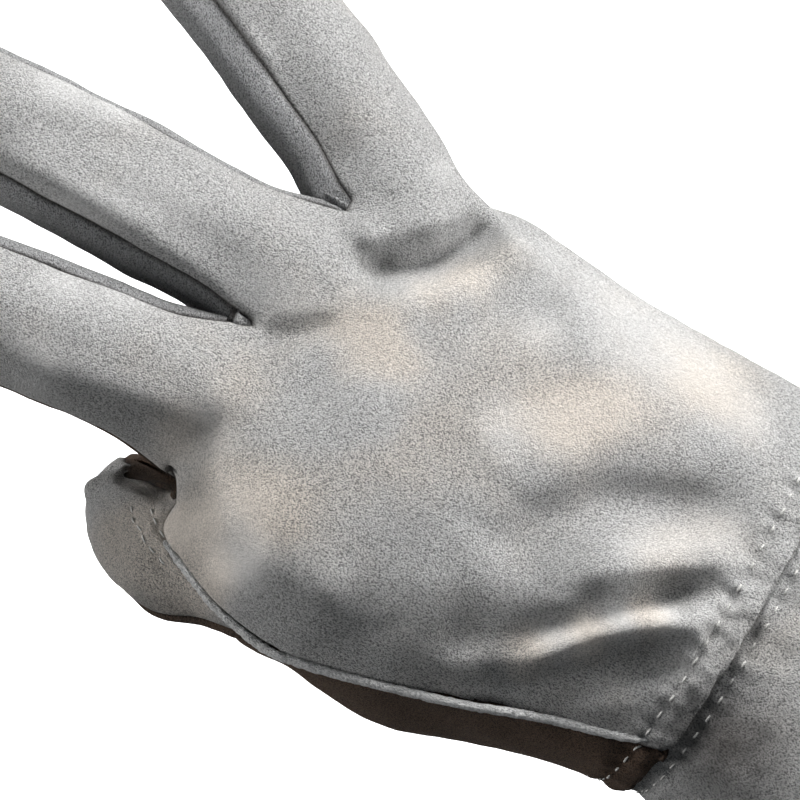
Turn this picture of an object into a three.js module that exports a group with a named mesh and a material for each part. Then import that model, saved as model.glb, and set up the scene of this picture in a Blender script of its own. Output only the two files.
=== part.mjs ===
// A short suede work glove for the right hand, in the form it has when it is worn.
// Millimetres. +Y runs from the wrist opening to the fingertips, +Z out of the back of the hand,
// and the thumb lies on the -X side. The origin is the middle of the wrist opening.
import * as THREE from "three";

// Driving dimensions
const LEATHER = 1.3; // thickness of the split leather
const SEAM_GAP = 0.2; // how far each piece stops short of a seam line
const SHARPEST_CORNER = 0.42; // limits how far a sharp corner draws back
const WRIST_EDGE_Y = 43; // raw edge of the hand panels, just past the stitched row
const CUFF_LAP = 6; // how far the cuff runs in under the hand panels
const CUFF_DROP = 1.75; // how far the cuff lies inside the hand panels
const WRIST_CENTRE_X = 6; // middle of the wrist opening in the tables below
const HAND_ROWS = 18;
const JOIN_ROW = 9; // hand row where the side seam meets the thumb
const WEB_ROW = 16; // hand row of the web between thumb and index finger
const PULL_SHARE = 0.26; // share of the panels that the thumb seam draws along
const WEB_PULL_SHARE = 0.15; // the same at the web
const BLEND_ON = 8; // how far past the crotches it is fully round
const TIP_LENGTH = 13; // length of the rounded fingertip
const TIP_WIDTH = 0.42; // width of the closing seam over the tip, as a share of the finger
const BACK_SEAM = 61; // angle of the seam beside the back of a finger
const PALM_SEAM = 119; // angle of the seam beside the front of a finger

const SUEDE_GREY = 0xa9a8a5;
const SUEDE_SHADE = 0x8d8984;
const RAW_EDGE = 0xc9c5bd;

// Outline of the hand and cuff at stations along Y: the little-finger side, the thumb side,
// the highest and lowest points, and how much the ball of the thumb swells out.
const SECTIONS = [
  { y: 0, ulnar: 55, radial: -43, top: 33, bottom: -33, swell: 0 },
  { y: 22, ulnar: 51.5, radial: -37.5, top: 28.5, bottom: -30, swell: 0 },
  { y: 42, ulnar: 49.8, radial: -34.5, top: 25.5, bottom: -28, swell: 0.5 },
  { y: 58, ulnar: 49.8, radial: -36.5, top: 24, bottom: -27, swell: 1.5 },
  { y: 75, ulnar: 48.6, radial: -40, top: 23, bottom: -27, swell: 7.6 },
  { y: 90, ulnar: 48.2, radial: -44.5, top: 22, bottom: -26, swell: 9.2 },
  { y: 105, ulnar: 49.3, radial: -48, top: 20.5, bottom: -24, swell: 2.6 },
  { y: 120, ulnar: 50.6, radial: -48, top: 19, bottom: -20, swell: 0 },
  { y: 135, ulnar: 51, radial: -43, top: 17, bottom: -15.5, swell: 0 },
  { y: 152, ulnar: 52, radial: -36, top: 15, bottom: -12.5, swell: 0 },
];
const SECTION_MIDDLE_Z = -2;
const SECTION_POWER = 0.9;
const SWELL_ANGLE = -133;
const SWELL_SPREAD = 28;
const SWELL_OUT = 0.94; // share of the swell that goes sideways
const SWELL_DOWN = 0.34; // and downwards

// Where the side seam on the thumb side lies on those outlines, as an angle from the top.
const SIDE_SEAM = [
  { y: 39, angle: -57 },
  { y: 57, angle: -64 },
  { y: 78, angle: -69 },
  { y: 95, angle: -73 },
  { y: 107, angle: -79 },
  { y: 116, angle: -86 },
  { y: 150, angle: -92 },
];
const OUTER_SEAM_ANGLE = 93; // the seam on the little-finger side

// Angles of the columns at the knuckles, for a share across each panel.
const KNUCKLE_ANGLES = {
  back: [
    { share: 0, angle: -92 },
    { share: 0.28, angle: -6 },
    { share: 0.52, angle: 31 },
    { share: 0.76, angle: 60 },
    { share: 1, angle: 93 },
  ],
  palm: [
    { share: 0, angle: -92 },
    { share: 0.28, angle: -174 },
    { share: 0.52, angle: -211 },
    { share: 0.76, angle: -240 },
    { share: 1, angle: -267 },
  ],
};

// The fingers: middle of the base, spread and roll angles, droop at the base and at the two
// finger joints, length, half width, half thickness and columns across. The panels reach a finger
// at distance startFrom along its thumb side and startTo along its little-finger side, and its
// tube starts to show blendBack before that. At its base the seams are turned round it by turnFrom
// on the thumb side and turnTo on the other.
const FINGERS = [
  { name: "index", x: -15.2, y: 147, z: 2, spread: -11.3, roll: -8, droop: 0, bend: [4, 6],
    length: 74, halfWidth: 12.9, halfThick: 12.2, columns: 7, angleFrom: -90, angleTo: BACK_SEAM,
    startFrom: -1, startTo: -3.5, blendBack: 24, turnFrom: 0, turnTo: 0 },
  { name: "middle", x: 12.4, y: 146, z: 2.5, spread: -3.6, roll: 0, droop: 0, bend: [4, 6],
    length: 82, halfWidth: 13.5, halfThick: 12.5, columns: 6, angleFrom: -BACK_SEAM, angleTo: BACK_SEAM,
    startFrom: 0, startTo: -3.5, blendBack: 24, turnFrom: 0, turnTo: 0 },
  { name: "ring", x: 41, y: 141.5, z: 1, spread: 23.5, roll: 18, droop: 0, bend: [3, 5],
    length: 76, halfWidth: 15, halfThick: 12.4, columns: 6, angleFrom: -BACK_SEAM, angleTo: BACK_SEAM,
    startFrom: -4, startTo: -8, blendBack: 22, turnFrom: 0, turnTo: 18 },
  { name: "little", x: 41.8, y: 117, z: -13, spread: 30, roll: 10, droop: 42, bend: [14, 10],
    length: 60, halfWidth: 11.4, halfThick: 11, columns: 6, angleFrom: -BACK_SEAM, angleTo: 90,
    startFrom: 4.5, startTo: 0, blendBack: 14, turnFrom: 36, turnTo: 0 },
];
// Places where the leather of the panels is evened out.
const EVEN_PLACES = [
  { x: -32, y: 142, z: -6, radius: 24 },
  { x: -3, y: 147, z: 3, radius: 15 },
  { x: 28, y: 144, z: 3, radius: 15 },
  { x: 43, y: 128, z: -7, radius: 16 },
];
const EVEN_PASSES = 9;
const EVEN_WEIGHT = 0.6;
const STRIP_COLUMNS = 3; // columns across a side strip
const JOINT_SHARES = [0.36, 0.68]; // places of the two finger joints along a finger
const FINGER_ROWS = [0, 0.07, 0.17, 0.28, 0.39, 0.5, 0.61, 0.72, 0.81, 0.88, 0.945, 0.983, 1];
const TAPER = 0.03; // how much narrower a finger is at its tip

// Seam between the back panel and the thumb, from the side seam to the web.
const THUMB_BACK_SEAM = [
  { y: 116, x: -47.6, z: -2 },
  { y: 121, x: -47, z: -3.5 },
  { y: 127, x: -45, z: -5.5 },
  { y: 133, x: -42.4, z: -8 },
  { y: 138.3, x: -39.4, z: -9.8 },
  { y: 141.8, x: -36.4, z: -10.8 },
];
// The same seam on the palm side.
const THUMB_PALM_SEAM = [
  { y: 116, x: -48, z: -8 },
  { y: 120, x: -46, z: -16 },
  { y: 125, x: -42, z: -22 },
  { y: 131, x: -36.5, z: -25 },
  { y: 137, x: -31.5, z: -24 },
  { y: 140.8, x: -29.6, z: -19 },
];
const THUMB_JOIN = { y: 111, x: -48.2, z: -0.5 };
const THUMB_WEB = { y: 144, x: -31.2, z: -12.4 };

// Rings of the thumb: middle, direction it points in, and half width and half thickness.
const THUMB_RINGS = [
  { x: -37.2, y: 139.8, z: -22.6, toX: -0.3, toY: 0.86, toZ: -0.42, halfWidth: 13, halfThick: 12 },
  { x: -35.4, y: 141.9, z: -26.2, toX: -0.05, toY: 0.78, toZ: -0.62, halfWidth: 12.6, halfThick: 12 },
  { x: -33, y: 144.6, z: -31.6, toX: 0.12, toY: 0.58, toZ: -0.8, halfWidth: 12.3, halfThick: 12 },
  { x: -30.2, y: 146.4, z: -37.4, toX: 0.22, toY: 0.37, toZ: -0.9, halfWidth: 12.2, halfThick: 12 },
  { x: -27.4, y: 147.6, z: -44, toX: 0.3, toY: 0.2, toZ: -0.93, halfWidth: 12, halfThick: 11.8 },
  { x: -24.6, y: 148.3, z: -51, toX: 0.34, toY: 0.1, toZ: -0.93, halfWidth: 11.6, halfThick: 11.2 },
  { x: -21.8, y: 148.7, z: -58, toX: 0.36, toY: 0.02, toZ: -0.93, halfWidth: 10.4, halfThick: 9.4 },
  { x: -20.2, y: 148.8, z: -62.2, toX: 0.36, toY: 0, toZ: -0.93, halfWidth: 7.8, halfThick: 6.2 },
  { x: -19.3, y: 148.8, z: -64.8, toX: 0.36, toY: 0, toZ: -0.93, halfWidth: 5.4, halfThick: 0 },
];
const ROOT_ROWS = [0.3, 0.65]; // rows between the hand's seam and the first ring
const ROOT_BOW = 0.45; // how much those rows bow outwards
const FRONT_CROWDING = 1.45; // columns of the thumb's front crowd towards its outer seam at the root
const LIP_ANGLE = 58; // seam of the thumb beside the index finger
const CLOSING_END = 0.85; // where the closing seam over the thumb tip ends, in half widths
const LIP_GROOVE = 3.4; // depth of the hollow just inside that seam
const LIP_GROOVE_ANGLE = 24;
const LIP_GROOVE_SPREAD = 24;
const LIP_GROOVE_RINGS = [0.5, 1, 1, 0.9, 0.55, 0.2, 0, 0, 0];

// Main folds and ridges on the back of the hand: a line over the back, its width and height.
const FOLDS = [
  { name: "knuckle valley", from: [15, 139], by: [28, 125], to: [40, 117], width: 6.5, height: -2.7 },
  { name: "knuckle lip", from: [14, 132], by: [30, 117.5], to: [41, 112], width: 6, height: 1.3 },
  { name: "outer valley", from: [39, 106], by: [33, 107.5], to: [20, 112.5], width: 6, height: -1.5 },
  { name: "middle valley", from: [3, 82], by: [10, 68], to: [20, 54], width: 7, height: -1.4 },
  { name: "wrist valley", from: [-9, 66], by: [-1, 57], to: [8, 47], width: 6, height: -2 },
  { name: "wrist ridge", from: [-29, 77], by: [-16, 65], to: [-1, 50], width: 6, height: 2.2 },
  { name: "lower valley", from: [-29, 71], by: [-20, 60], to: [-8, 47], width: 6, height: -1.8 },
];
const FOLD_SHOWS_ABOVE = 4; // folds fade out below this height
const FOLD_SHOWS_PAST = 49.5; // and end here towards the wrist

const CUFF_ROWS = [0, 9, 18, 27, 35, WRIST_EDGE_Y - 2, WRIST_EDGE_Y + 3, WRIST_EDGE_Y + CUFF_LAP];
const CUFF_COLUMNS = 26;

// The raised raw edge along the side seam, and its size at the two ends as a share.
const WELT = { width: 1.9, rise: 1.5, sink: 0.35, ends: 0.6 };

const radians = THREE.MathUtils.degToRad;
const mix = THREE.MathUtils.lerp;
const point = (x, y, z) => new THREE.Vector3(x, y, z);

function easeBetween(value, low, high) {
  return THREE.MathUtils.smoothstep(value, low, high);
}

// Smooth value of one column of a table at a place along another.
function readTable(table, along, place, column) {
  const last = table.length - 1;
  let i = 0;
  while (i < last - 1 && place > table[i + 1][along]) i += 1;
  const a = table[i];
  const b = table[i + 1];
  const span = b[along] - a[along];
  const t = THREE.MathUtils.clamp((place - a[along]) / span, 0, 1);
  const before = table[Math.max(i - 1, 0)];
  const after = table[Math.min(i + 2, last)];
  const slopeA = ((b[column] - before[column]) / (b[along] - before[along])) * span;
  const slopeB = ((after[column] - a[column]) / (after[along] - a[along])) * span;
  const t2 = t * t;
  const t3 = t2 * t;
  return (
    (2 * t3 - 3 * t2 + 1) * a[column] +
    (t3 - 2 * t2 + t) * slopeA +
    (3 * t2 - 2 * t3) * b[column] +
    (t3 - t2) * slopeB
  );
}

const roundPower = (value) => Math.sign(value) * Math.abs(value) ** SECTION_POWER;

// A point on the outline of the hand or cuff. Angle 0 is the top, 90 the little-finger side.
function handPoint(y, angle) {
  const ulnar = readTable(SECTIONS, "y", y, "ulnar");
  const radial = readTable(SECTIONS, "y", y, "radial");
  const top = readTable(SECTIONS, "y", y, "top");
  const bottom = readTable(SECTIONS, "y", y, "bottom");
  const swell = readTable(SECTIONS, "y", y, "swell");
  const across = roundPower(Math.sin(radians(angle)));
  const rise = roundPower(Math.cos(radians(angle)));
  const reach = rise > 0 ? top - SECTION_MIDDLE_Z : SECTION_MIDDLE_Z - bottom;
  const fromSwell = ((angle - SWELL_ANGLE + 540) % 360) - 180;
  const puff = swell * Math.exp(-((fromSwell / SWELL_SPREAD) ** 2));
  return point(
    (ulnar + radial) / 2 + ((ulnar - radial) / 2) * across - SWELL_OUT * puff,
    y,
    SECTION_MIDDLE_Z + reach * rise - SWELL_DOWN * puff,
  );
}

// Middle, side, up and forward directions of a finger at a distance from its base.
function fingerFrame(finger, distance) {
  const spread = radians(finger.spread);
  const roll = radians(finger.roll);
  const ahead = point(Math.sin(spread), Math.cos(spread), 0);
  const flatSide = point(Math.cos(spread), -Math.sin(spread), 0);
  const up = point(0, 0, 1).multiplyScalar(Math.cos(roll)).addScaledVector(flatSide, Math.sin(roll));
  const side = flatSide.multiplyScalar(Math.cos(roll)).addScaledVector(point(0, 0, 1), -Math.sin(roll));
  const middle = point(finger.x, finger.y, finger.z);
  const steps = 24;
  const step = distance / steps;
  let droop = 0;
  for (let i = 0; i < steps; i += 1) {
    droop = droopAt(finger, (i + 0.5) * step);
    middle.addScaledVector(ahead, step * Math.cos(droop)).addScaledVector(up, -step * Math.sin(droop));
  }
  droop = droopAt(finger, distance);
  return {
    middle,
    side,
    up: up.clone().multiplyScalar(Math.cos(droop)).addScaledVector(ahead, Math.sin(droop)),
  };
}

function droopAt(finger, distance) {
  const share = distance / finger.length;
  const bends = JOINT_SHARES.map(
    (joint, i) => finger.bend[i] * easeBetween(share, joint - 0.11, joint + 0.11),
  );
  return radians(finger.droop + bends[0] + bends[1]);
}

// A point on a finger. Angle 0 is its back, 90 the little-finger side.
function fingerPoint(finger, distance, angle) {
  const frame = fingerFrame(finger, distance);
  const intoTip = THREE.MathUtils.clamp((distance - finger.length + TIP_LENGTH) / TIP_LENGTH, 0, 1);
  const round = Math.sqrt(Math.max(1 - intoTip * intoTip, 0));
  const taper = 1 - TAPER * THREE.MathUtils.clamp(distance / finger.length, 0, 1);
  const halfWidth = finger.halfWidth * taper * mix(TIP_WIDTH, 1, round);
  const halfThick = finger.halfThick * taper * round;
  return frame.middle
    .clone()
    .addScaledVector(frame.side, halfWidth * Math.sin(radians(angle)))
    .addScaledVector(frame.up, halfThick * Math.cos(radians(angle)));
}

// Angle on the outline of the hand for a share across a panel, 0 at the thumb side.
function handAngle(share, row, fromAngle, toAngle, limits) {
  const alongWrist = mix(fromAngle, toAngle, share);
  const atKnuckles = readTable(limits, "share", share, "angle");
  return mix(alongWrist, atKnuckles, easeBetween(row / HAND_ROWS, 0.1, 1));
}

// Displacement of the folds at a point of the back.
function foldHeight(p) {
  const high = easeBetween(p.z, FOLD_SHOWS_ABOVE - 6, FOLD_SHOWS_ABOVE + 4);
  const shows = high * easeBetween(p.y, FOLD_SHOWS_PAST, FOLD_SHOWS_PAST + 7);
  return FOLDS.reduce((sum, fold) => {
    let nearest = Infinity;
    let at = 0;
    for (let i = 0; i <= 12; i += 1) {
      const t = i / 12;
      const x = (1 - t) ** 2 * fold.from[0] + 2 * t * (1 - t) * fold.by[0] + t * t * fold.to[0];
      const y = (1 - t) ** 2 * fold.from[1] + 2 * t * (1 - t) * fold.by[1] + t * t * fold.to[1];
      const far = Math.hypot(p.x - x, p.y - y);
      if (far < nearest) {
        nearest = far;
        at = t;
      }
    }
    const ends = easeBetween(at, -0.02, 0.2) * easeBetween(1 - at, -0.02, 0.2);
    return sum + shows * ends * fold.height * Math.exp(-((nearest / fold.width) ** 2));
  }, 0);
}

const nearThumb = (share, reach) => easeBetween(1 - share / reach, 0, 1);

// How far along the hand a row lies at the panel's edge on the thumb side.
function seamRowY(row, seam, end) {
  if (row <= JOIN_ROW) return mix(WRIST_EDGE_Y, THUMB_JOIN.y, row / JOIN_ROW);
  if (row <= WEB_ROW) return thumbSeamPoint(row, seam).y;
  return mix(THUMB_WEB.y, end, (row - WEB_ROW) / (HAND_ROWS - WEB_ROW));
}

// Moves the columns beside the thumb so that the panel's edge meets the thumb's seam.
function pullToThumb(p, row, share, seam, edge) {
  const along = easeBetween(row, JOIN_ROW - 3, JOIN_ROW) * (1 - easeBetween(row, WEB_ROW, HAND_ROWS + 2));
  const target = thumbSeamPoint(row, seam);
  const reach = mix(PULL_SHARE, WEB_PULL_SHARE, easeBetween(row, JOIN_ROW, WEB_ROW));
  p.addScaledVector(target.sub(edge), nearThumb(share, reach) * along);
}

function thumbSeamPoint(row, seam) {
  const join = point(THUMB_JOIN.x, THUMB_JOIN.y, THUMB_JOIN.z);
  const web = point(THUMB_WEB.x, THUMB_WEB.y, THUMB_WEB.z);
  if (row <= JOIN_ROW) return join;
  if (row >= WEB_ROW) return web;
  const stops = [join, ...seam.map((s) => point(s.x, s.y, s.z)), web];
  const curve = new THREE.CatmullRomCurve3(stops, false, "centripetal");
  return curve.getPointAt((row - JOIN_ROW) / (WEB_ROW - JOIN_ROW));
}

// A flexible sheet of leather: named corners joined by four-sided patches.
class Sheet {
  constructor(name) {
    this.name = name;
    this.points = [];
    this.patches = [];
    this.known = new Map();
  }

  corner(p) {
    const key = [p.x, p.y, p.z].map((v) => Math.round(v * 2000)).join(" ");
    if (!this.known.has(key)) {
      this.known.set(key, this.points.length);
      this.points.push(p.clone());
    }
    return this.known.get(key);
  }

  patch(a, b, c, d) {
    const loop = [a, b, c, d].map((p) => this.corner(p));
    const kept = loop.filter((corner, i) => corner !== loop[(i + 3) % 4]);
    if (kept.length > 2) this.patches.push(kept);
  }

  // Rows of points that run the same way, joined by patches that face to the left of the rows.
  grid(rows) {
    for (let i = 0; i + 1 < rows.length; i += 1) {
      for (let j = 0; j + 1 < rows[i].length; j += 1) {
        this.patch(rows[i][j], rows[i][j + 1], rows[i + 1][j + 1], rows[i + 1][j]);
      }
    }
  }

  patchNormal(patch) {
    const normal = point(0, 0, 0);
    patch.forEach((corner, i) => {
      const p = this.points[corner];
      const q = this.points[patch[(i + 1) % patch.length]];
      normal.x += (p.y - q.y) * (p.z + q.z);
      normal.y += (p.z - q.z) * (p.x + q.x);
      normal.z += (p.x - q.x) * (p.y + q.y);
    });
    return normal;
  }
}

const keyOf = (p) => [p.x, p.y, p.z].map((v) => Math.round(v * 500)).join(" ");

// Outward directions at every corner, shared by the sheets that meet there.
function sharedNormals(sheets) {
  const sums = new Map();
  sheets.forEach((sheet) =>
    sheet.patches.forEach((patch) => {
      const normal = sheet.patchNormal(patch);
      patch.forEach((corner) => {
        const key = keyOf(sheet.points[corner]);
        if (!sums.has(key)) sums.set(key, point(0, 0, 0));
        sums.get(key).add(normal);
      });
    }),
  );
  sums.forEach((sum) => sum.normalize());
  return sums;
}

// Directed edges that belong to one patch only.
function rimEdges(sheet) {
  const seen = new Map();
  sheet.patches.forEach((patch) =>
    patch.forEach((corner, i) => {
      const next = patch[(i + 1) % patch.length];
      seen.set(corner + " " + next, [corner, next]);
    }),
  );
  return [...seen.values()].filter(([a, b]) => !seen.has(b + " " + a));
}

// Evens out a sheet around the crotches and the web, leaving its edges where they are.
function evenOut(sheet) {
  const fixed = new Set(rimEdges(sheet).flat());
  const beside = sheet.points.map(() => new Set());
  sheet.patches.forEach((patch) =>
    patch.forEach((corner, i) => {
      const next = patch[(i + 1) % patch.length];
      beside[corner].add(next);
      beside[next].add(corner);
    }),
  );
  for (let pass = 0; pass < EVEN_PASSES; pass += 1) {
    sheet.points = sheet.points.map((p, i) => {
      if (fixed.has(i)) return p;
      const share = Math.max(
        ...EVEN_PLACES.map(
          (place) => 1 - Math.hypot(p.x - place.x, p.y - place.y, p.z - place.z) / place.radius,
        ),
      );
      if (share <= 0) return p;
      const middle = point(0, 0, 0);
      beside[i].forEach((corner) => middle.addScaledVector(sheet.points[corner], 1 / beside[i].size));
      return p.clone().lerp(middle, EVEN_WEIGHT * easeBetween(share, 0, 0.6));
    });
  }
}

// The closed solid of a sheet: its outer face, an inner face one thickness in, and the rims.
function thickened(sheet, normals, thickness, gap) {
  const rims = rimEdges(sheet);
  const normalAt = sheet.points.map((p) => normals.get(keyOf(p)));
  const inward = sheet.points.map(() => null);
  rims.forEach(([a, b]) => {
    const along = sheet.points[b].clone().sub(sheet.points[a]).normalize();
    [a, b].forEach((corner) => {
      const into = normalAt[corner].clone().cross(along).normalize();
      inward[corner] = inward[corner] ? inward[corner].add(into) : into;
    });
  });
  const outer = sheet.points.map((p, i) => {
    if (!inward[i]) return p.clone();
    const sharpness = Math.max(inward[i].length(), SHARPEST_CORNER);
    return p.clone().addScaledVector(inward[i].clone().normalize(), (2 * gap) / sharpness);
  });
  const inner = outer.map((p, i) => p.clone().addScaledVector(normalAt[i], -thickness));
  const count = outer.length;
  const faces = [];
  const addLoop = (loop) => {
    for (let i = 1; i + 1 < loop.length; i += 1) faces.push(loop[0], loop[i], loop[i + 1]);
  };
  sheet.patches.forEach((patch) => {
    addLoop(patch);
    addLoop([...patch].reverse().map((corner) => corner + count));
  });
  rims.forEach(([a, b]) => addLoop([b, a, a + count, b + count]));
  const places = [...outer, ...inner].flatMap((p) => [p.x, p.y, p.z]);
  const geometry = new THREE.BufferGeometry();
  geometry.setAttribute("position", new THREE.Float32BufferAttribute(places, 3));
  geometry.setIndex(faces);
  geometry.computeVertexNormals();
  return geometry;
}

function suede(colour) {
  return new THREE.MeshStandardMaterial({ color: colour, roughness: 0.95, metalness: 0 });
}

// Distance along a finger at which the panels reach it, for an angle round it.
function startDistance(finger, angle) {
  const sideways = (around) => Math.sin(radians(around));
  const width = sideways(finger.angleTo) - sideways(finger.angleFrom);
  const share = (sideways(angle) - sideways(finger.angleFrom)) / width;
  return mix(finger.startFrom, finger.startTo, share);
}

// The columns of a panel: the share across the hand, and the fingers and angles that each serves.
// A column between two fingers serves both.
function panelColumns(side) {
  const total = FINGERS.reduce((sum, finger) => sum + finger.columns, 0);
  const columns = [];
  let first = 0;
  FINGERS.forEach((finger) => {
    for (let j = 0; j <= finger.columns; j += 1) {
      const across = j / finger.columns;
      const onBack = mix(finger.angleFrom, finger.angleTo, across);
      const angle = side === "back" ? onBack : -180 - onBack;
      const turn = finger.turnFrom * (1 - across) + finger.turnTo * across ** 3;
      const serves = { finger, angle, turn, start: startDistance(finger, angle) };
      if (j > 0 || columns.length === 0) columns.push({ share: (first + j) / total, serves: [] });
      columns[columns.length - 1].serves.push(serves);
    }
    first += finger.columns;
  });
  columns.forEach((column) => {
    const averageOf = (value) =>
      column.serves.reduce((sum, one) => sum + value(one), 0) / column.serves.length;
    column.end = averageOf(({ finger, start, angle, turn }) => fingerPoint(finger, start, angle + turn).y);
    column.blendBack = averageOf(({ finger }) => finger.blendBack);
  });
  return columns;
}

// Position in a hand row: on the hand's outline, drawn towards the finger tubes near the crotches.
function panelPoint(y, column, angle) {
  const onHand = handPoint(y, angle);
  const amount = easeBetween(y - column.end, -column.blendBack, BLEND_ON);
  if (amount === 0) return onHand;
  const onFingers = point(0, 0, 0);
  column.serves.forEach(({ finger, start, turn, angle: around }) => {
    const p = fingerPoint(finger, start - column.end + y, around + turn);
    onFingers.addScaledVector(p, 1 / column.serves.length);
  });
  return onHand.lerp(onFingers, amount);
}

// Rows of the hand for one panel, from the wrist edge to the crotches.
function handRows(side, columns) {
  const seam = side === "back" ? THUMB_BACK_SEAM : THUMB_PALM_SEAM;
  const outerAngle = side === "back" ? OUTER_SEAM_ANGLE : OUTER_SEAM_ANGLE - 360;
  const rows = [];
  for (let row = 0; row <= HAND_ROWS; row += 1) {
    const line = columns.map((column) => {
      const evenly = mix(WRIST_EDGE_Y, column.end, row / HAND_ROWS);
      const y = mix(evenly, seamRowY(row, seam, columns[0].end), nearThumb(column.share, PULL_SHARE));
      const seamAngle = readTable(SIDE_SEAM, "y", y, "angle");
      const angle = handAngle(column.share, row, seamAngle, outerAngle, KNUCKLE_ANGLES[side]);
      return panelPoint(y, column, angle);
    });
    const edge = line[0].clone();
    line.forEach((p, i) => {
      pullToThumb(p, row, columns[i].share, seam, edge);
      if (side === "back") p.z += foldHeight(p);
    });
    rows.push(line);
  }
  return rows;
}

// How much of the turn of the seams is left at a share along a finger.
const turnLeft = (share) => 1 - easeBetween(share, 0, 0.7);

// Adds the finger rows of a panel past the crotches, and returns the two edges of each finger.
function addFingers(sheet, lastHandRow, columns) {
  return FINGERS.map((finger) => {
    const mine = columns.flatMap((column, i) =>
      column.serves
        .filter((one) => one.finger === finger)
        .map((one) => ({ ...one, from: lastHandRow[i] })),
    );
    const rows = FINGER_ROWS.map((share) =>
      mine.map(({ angle, turn, start, from }) => {
        if (share === 0) return from;
        const around = angle + turn * turnLeft(share);
        const onTube = fingerPoint(finger, mix(start, finger.length, share), around);
        const past = share * (finger.length - start);
        const offset = from.clone().sub(fingerPoint(finger, start, angle + turn));
        return onTube.addScaledVector(offset, 1 - easeBetween(past, 0, BLEND_ON * 2));
      }),
    );
    sheet.grid(rows);
    return { first: rows.map((r) => r[0]), last: rows.map((r) => r[r.length - 1]) };
  });
}

// A side strip runs from one fingertip down to the crotch and up the next finger.
function sideStrip(name, nearFinger, farFinger, backEdges, palmEdges) {
  const sheet = new Sheet(name);
  const rowsOn = (finger, backEdge, palmEdge, fromAngle, toAngle, turn) =>
    backEdge.map((top, i) => {
      const line = [top];
      for (let j = 1; j < STRIP_COLUMNS; j += 1) {
        const t = j / STRIP_COLUMNS;
        const angle = mix(fromAngle, toAngle, t) + turn * turnLeft(FINGER_ROWS[i]);
        const straight = top.clone().lerp(palmEdge[i], t);
        const settle = easeBetween(i, 0, 3);
        if (settle === 0) {
          line.push(straight);
          continue;
        }
        const place = mix(distanceOf(finger, top), distanceOf(finger, palmEdge[i]), t);
        const onTube = fingerPoint(finger, Math.min(place, finger.length), angle);
        line.push(straight.lerp(onTube, settle));
      }
      line.push(palmEdge[i]);
      return line;
    });
  const near = [nearFinger, backEdges.near, palmEdges.near, BACK_SEAM, PALM_SEAM, nearFinger.turnTo];
  const far = [farFinger, backEdges.far, palmEdges.far, -BACK_SEAM, -PALM_SEAM, farFinger.turnFrom];
  const down = rowsOn(...near).reverse();
  const upward = rowsOn(...far);
  sheet.grid([...down, ...upward.slice(1)].map((line) => line.reverse()));
  return sheet;
}

// Distance along a finger of the place nearest to a point.
function distanceOf(finger, p) {
  let best = 0;
  let nearest = Infinity;
  for (let i = -8; i <= 80; i += 1) {
    const distance = (i / 80) * finger.length;
    const far = fingerFrame(finger, distance).middle.distanceTo(p);
    if (far < nearest) {
      nearest = far;
      best = distance;
    }
  }
  return best;
}

// One ring line of the thumb between two angles.
function thumbLine(ring, index, fromAngle, toAngle, count, crowding) {
  const ahead = point(ring.toX, ring.toY, ring.toZ).normalize();
  const across = point(1, 0, 0).addScaledVector(ahead, -ahead.x).normalize();
  const up = ahead.clone().cross(across).negate();
  const line = [];
  for (let i = 0; i <= count; i += 1) {
    const share = i / count;
    const angle = mix(fromAngle, toAngle, share ** mix(crowding, 1, Math.min(index / 4, 1)));
    const fromGroove = ((angle - LIP_GROOVE_ANGLE + 540) % 360) - 180;
    const groove = LIP_GROOVE * LIP_GROOVE_RINGS[index] * Math.exp(-((fromGroove / LIP_GROOVE_SPREAD) ** 2));
    const onClosingSeam = mix(-1, CLOSING_END, share);
    const onRing = Math.cos(radians(angle));
    const wide = (ring.halfWidth - groove) * (ring.halfThick === 0 ? onClosingSeam : onRing);
    const thick = Math.max(ring.halfThick - groove, 0) * Math.sin(radians(angle));
    line.push(
      point(ring.x, ring.y, ring.z).addScaledVector(across, wide).addScaledVector(up, thick),
    );
  }
  return line;
}

function thumbHalf(name, seamRow, fromAngle, toAngle, crowding, bowAt) {
  const sheet = new Sheet(name);
  const count = seamRow.length - 1;
  const rings = THUMB_RINGS.map((ring, i) =>
    thumbLine(ring, i, fromAngle, toAngle, count, crowding),
  );
  const first = THUMB_RINGS[0];
  const ahead = point(first.toX, first.toY, first.toZ).normalize();
  const root = ROOT_ROWS.map((t) =>
    seamRow.map((p, i) => {
      const q = rings[0][i];
      const handle = q.clone().addScaledVector(ahead, -bowAt(i / count) * p.distanceTo(q));
      return p.clone().lerp(handle, t).lerp(handle.clone().lerp(q, t), t);
    }),
  );
  sheet.grid([seamRow, ...root, ...rings]);
  return sheet;
}

function buildPanel(name, side) {
  const sheet = new Sheet(name);
  const columns = panelColumns(side);
  const rows = handRows(side, columns);
  sheet.grid(rows);
  const edges = addFingers(sheet, rows[HAND_ROWS], columns);
  return { sheet, rows, edges };
}

function flipped(sheet) {
  sheet.patches = sheet.patches.map((patch) => [...patch].reverse());
  return sheet;
}

// The cuff is one tube of leather that starts under the hand panels.
function buildCuff() {
  const sheet = new Sheet("cuff");
  const rows = CUFF_ROWS.map((y) => {
    const inset = CUFF_DROP * easeBetween(y, WRIST_EDGE_Y - 12, WRIST_EDGE_Y - 4);
    const line = [];
    for (let i = 0; i <= CUFF_COLUMNS; i += 1) {
      const angle = (360 * (i % CUFF_COLUMNS)) / CUFF_COLUMNS;
      const p = handPoint(y, angle > 180 ? angle - 360 : angle);
      const middle = point(WRIST_CENTRE_X, y, SECTION_MIDDLE_Z);
      const outward = p.clone().sub(middle).normalize();
      line.push(p.addScaledVector(outward, -inset));
    }
    return line;
  });
  sheet.grid(rows);
  return sheet;
}

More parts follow.
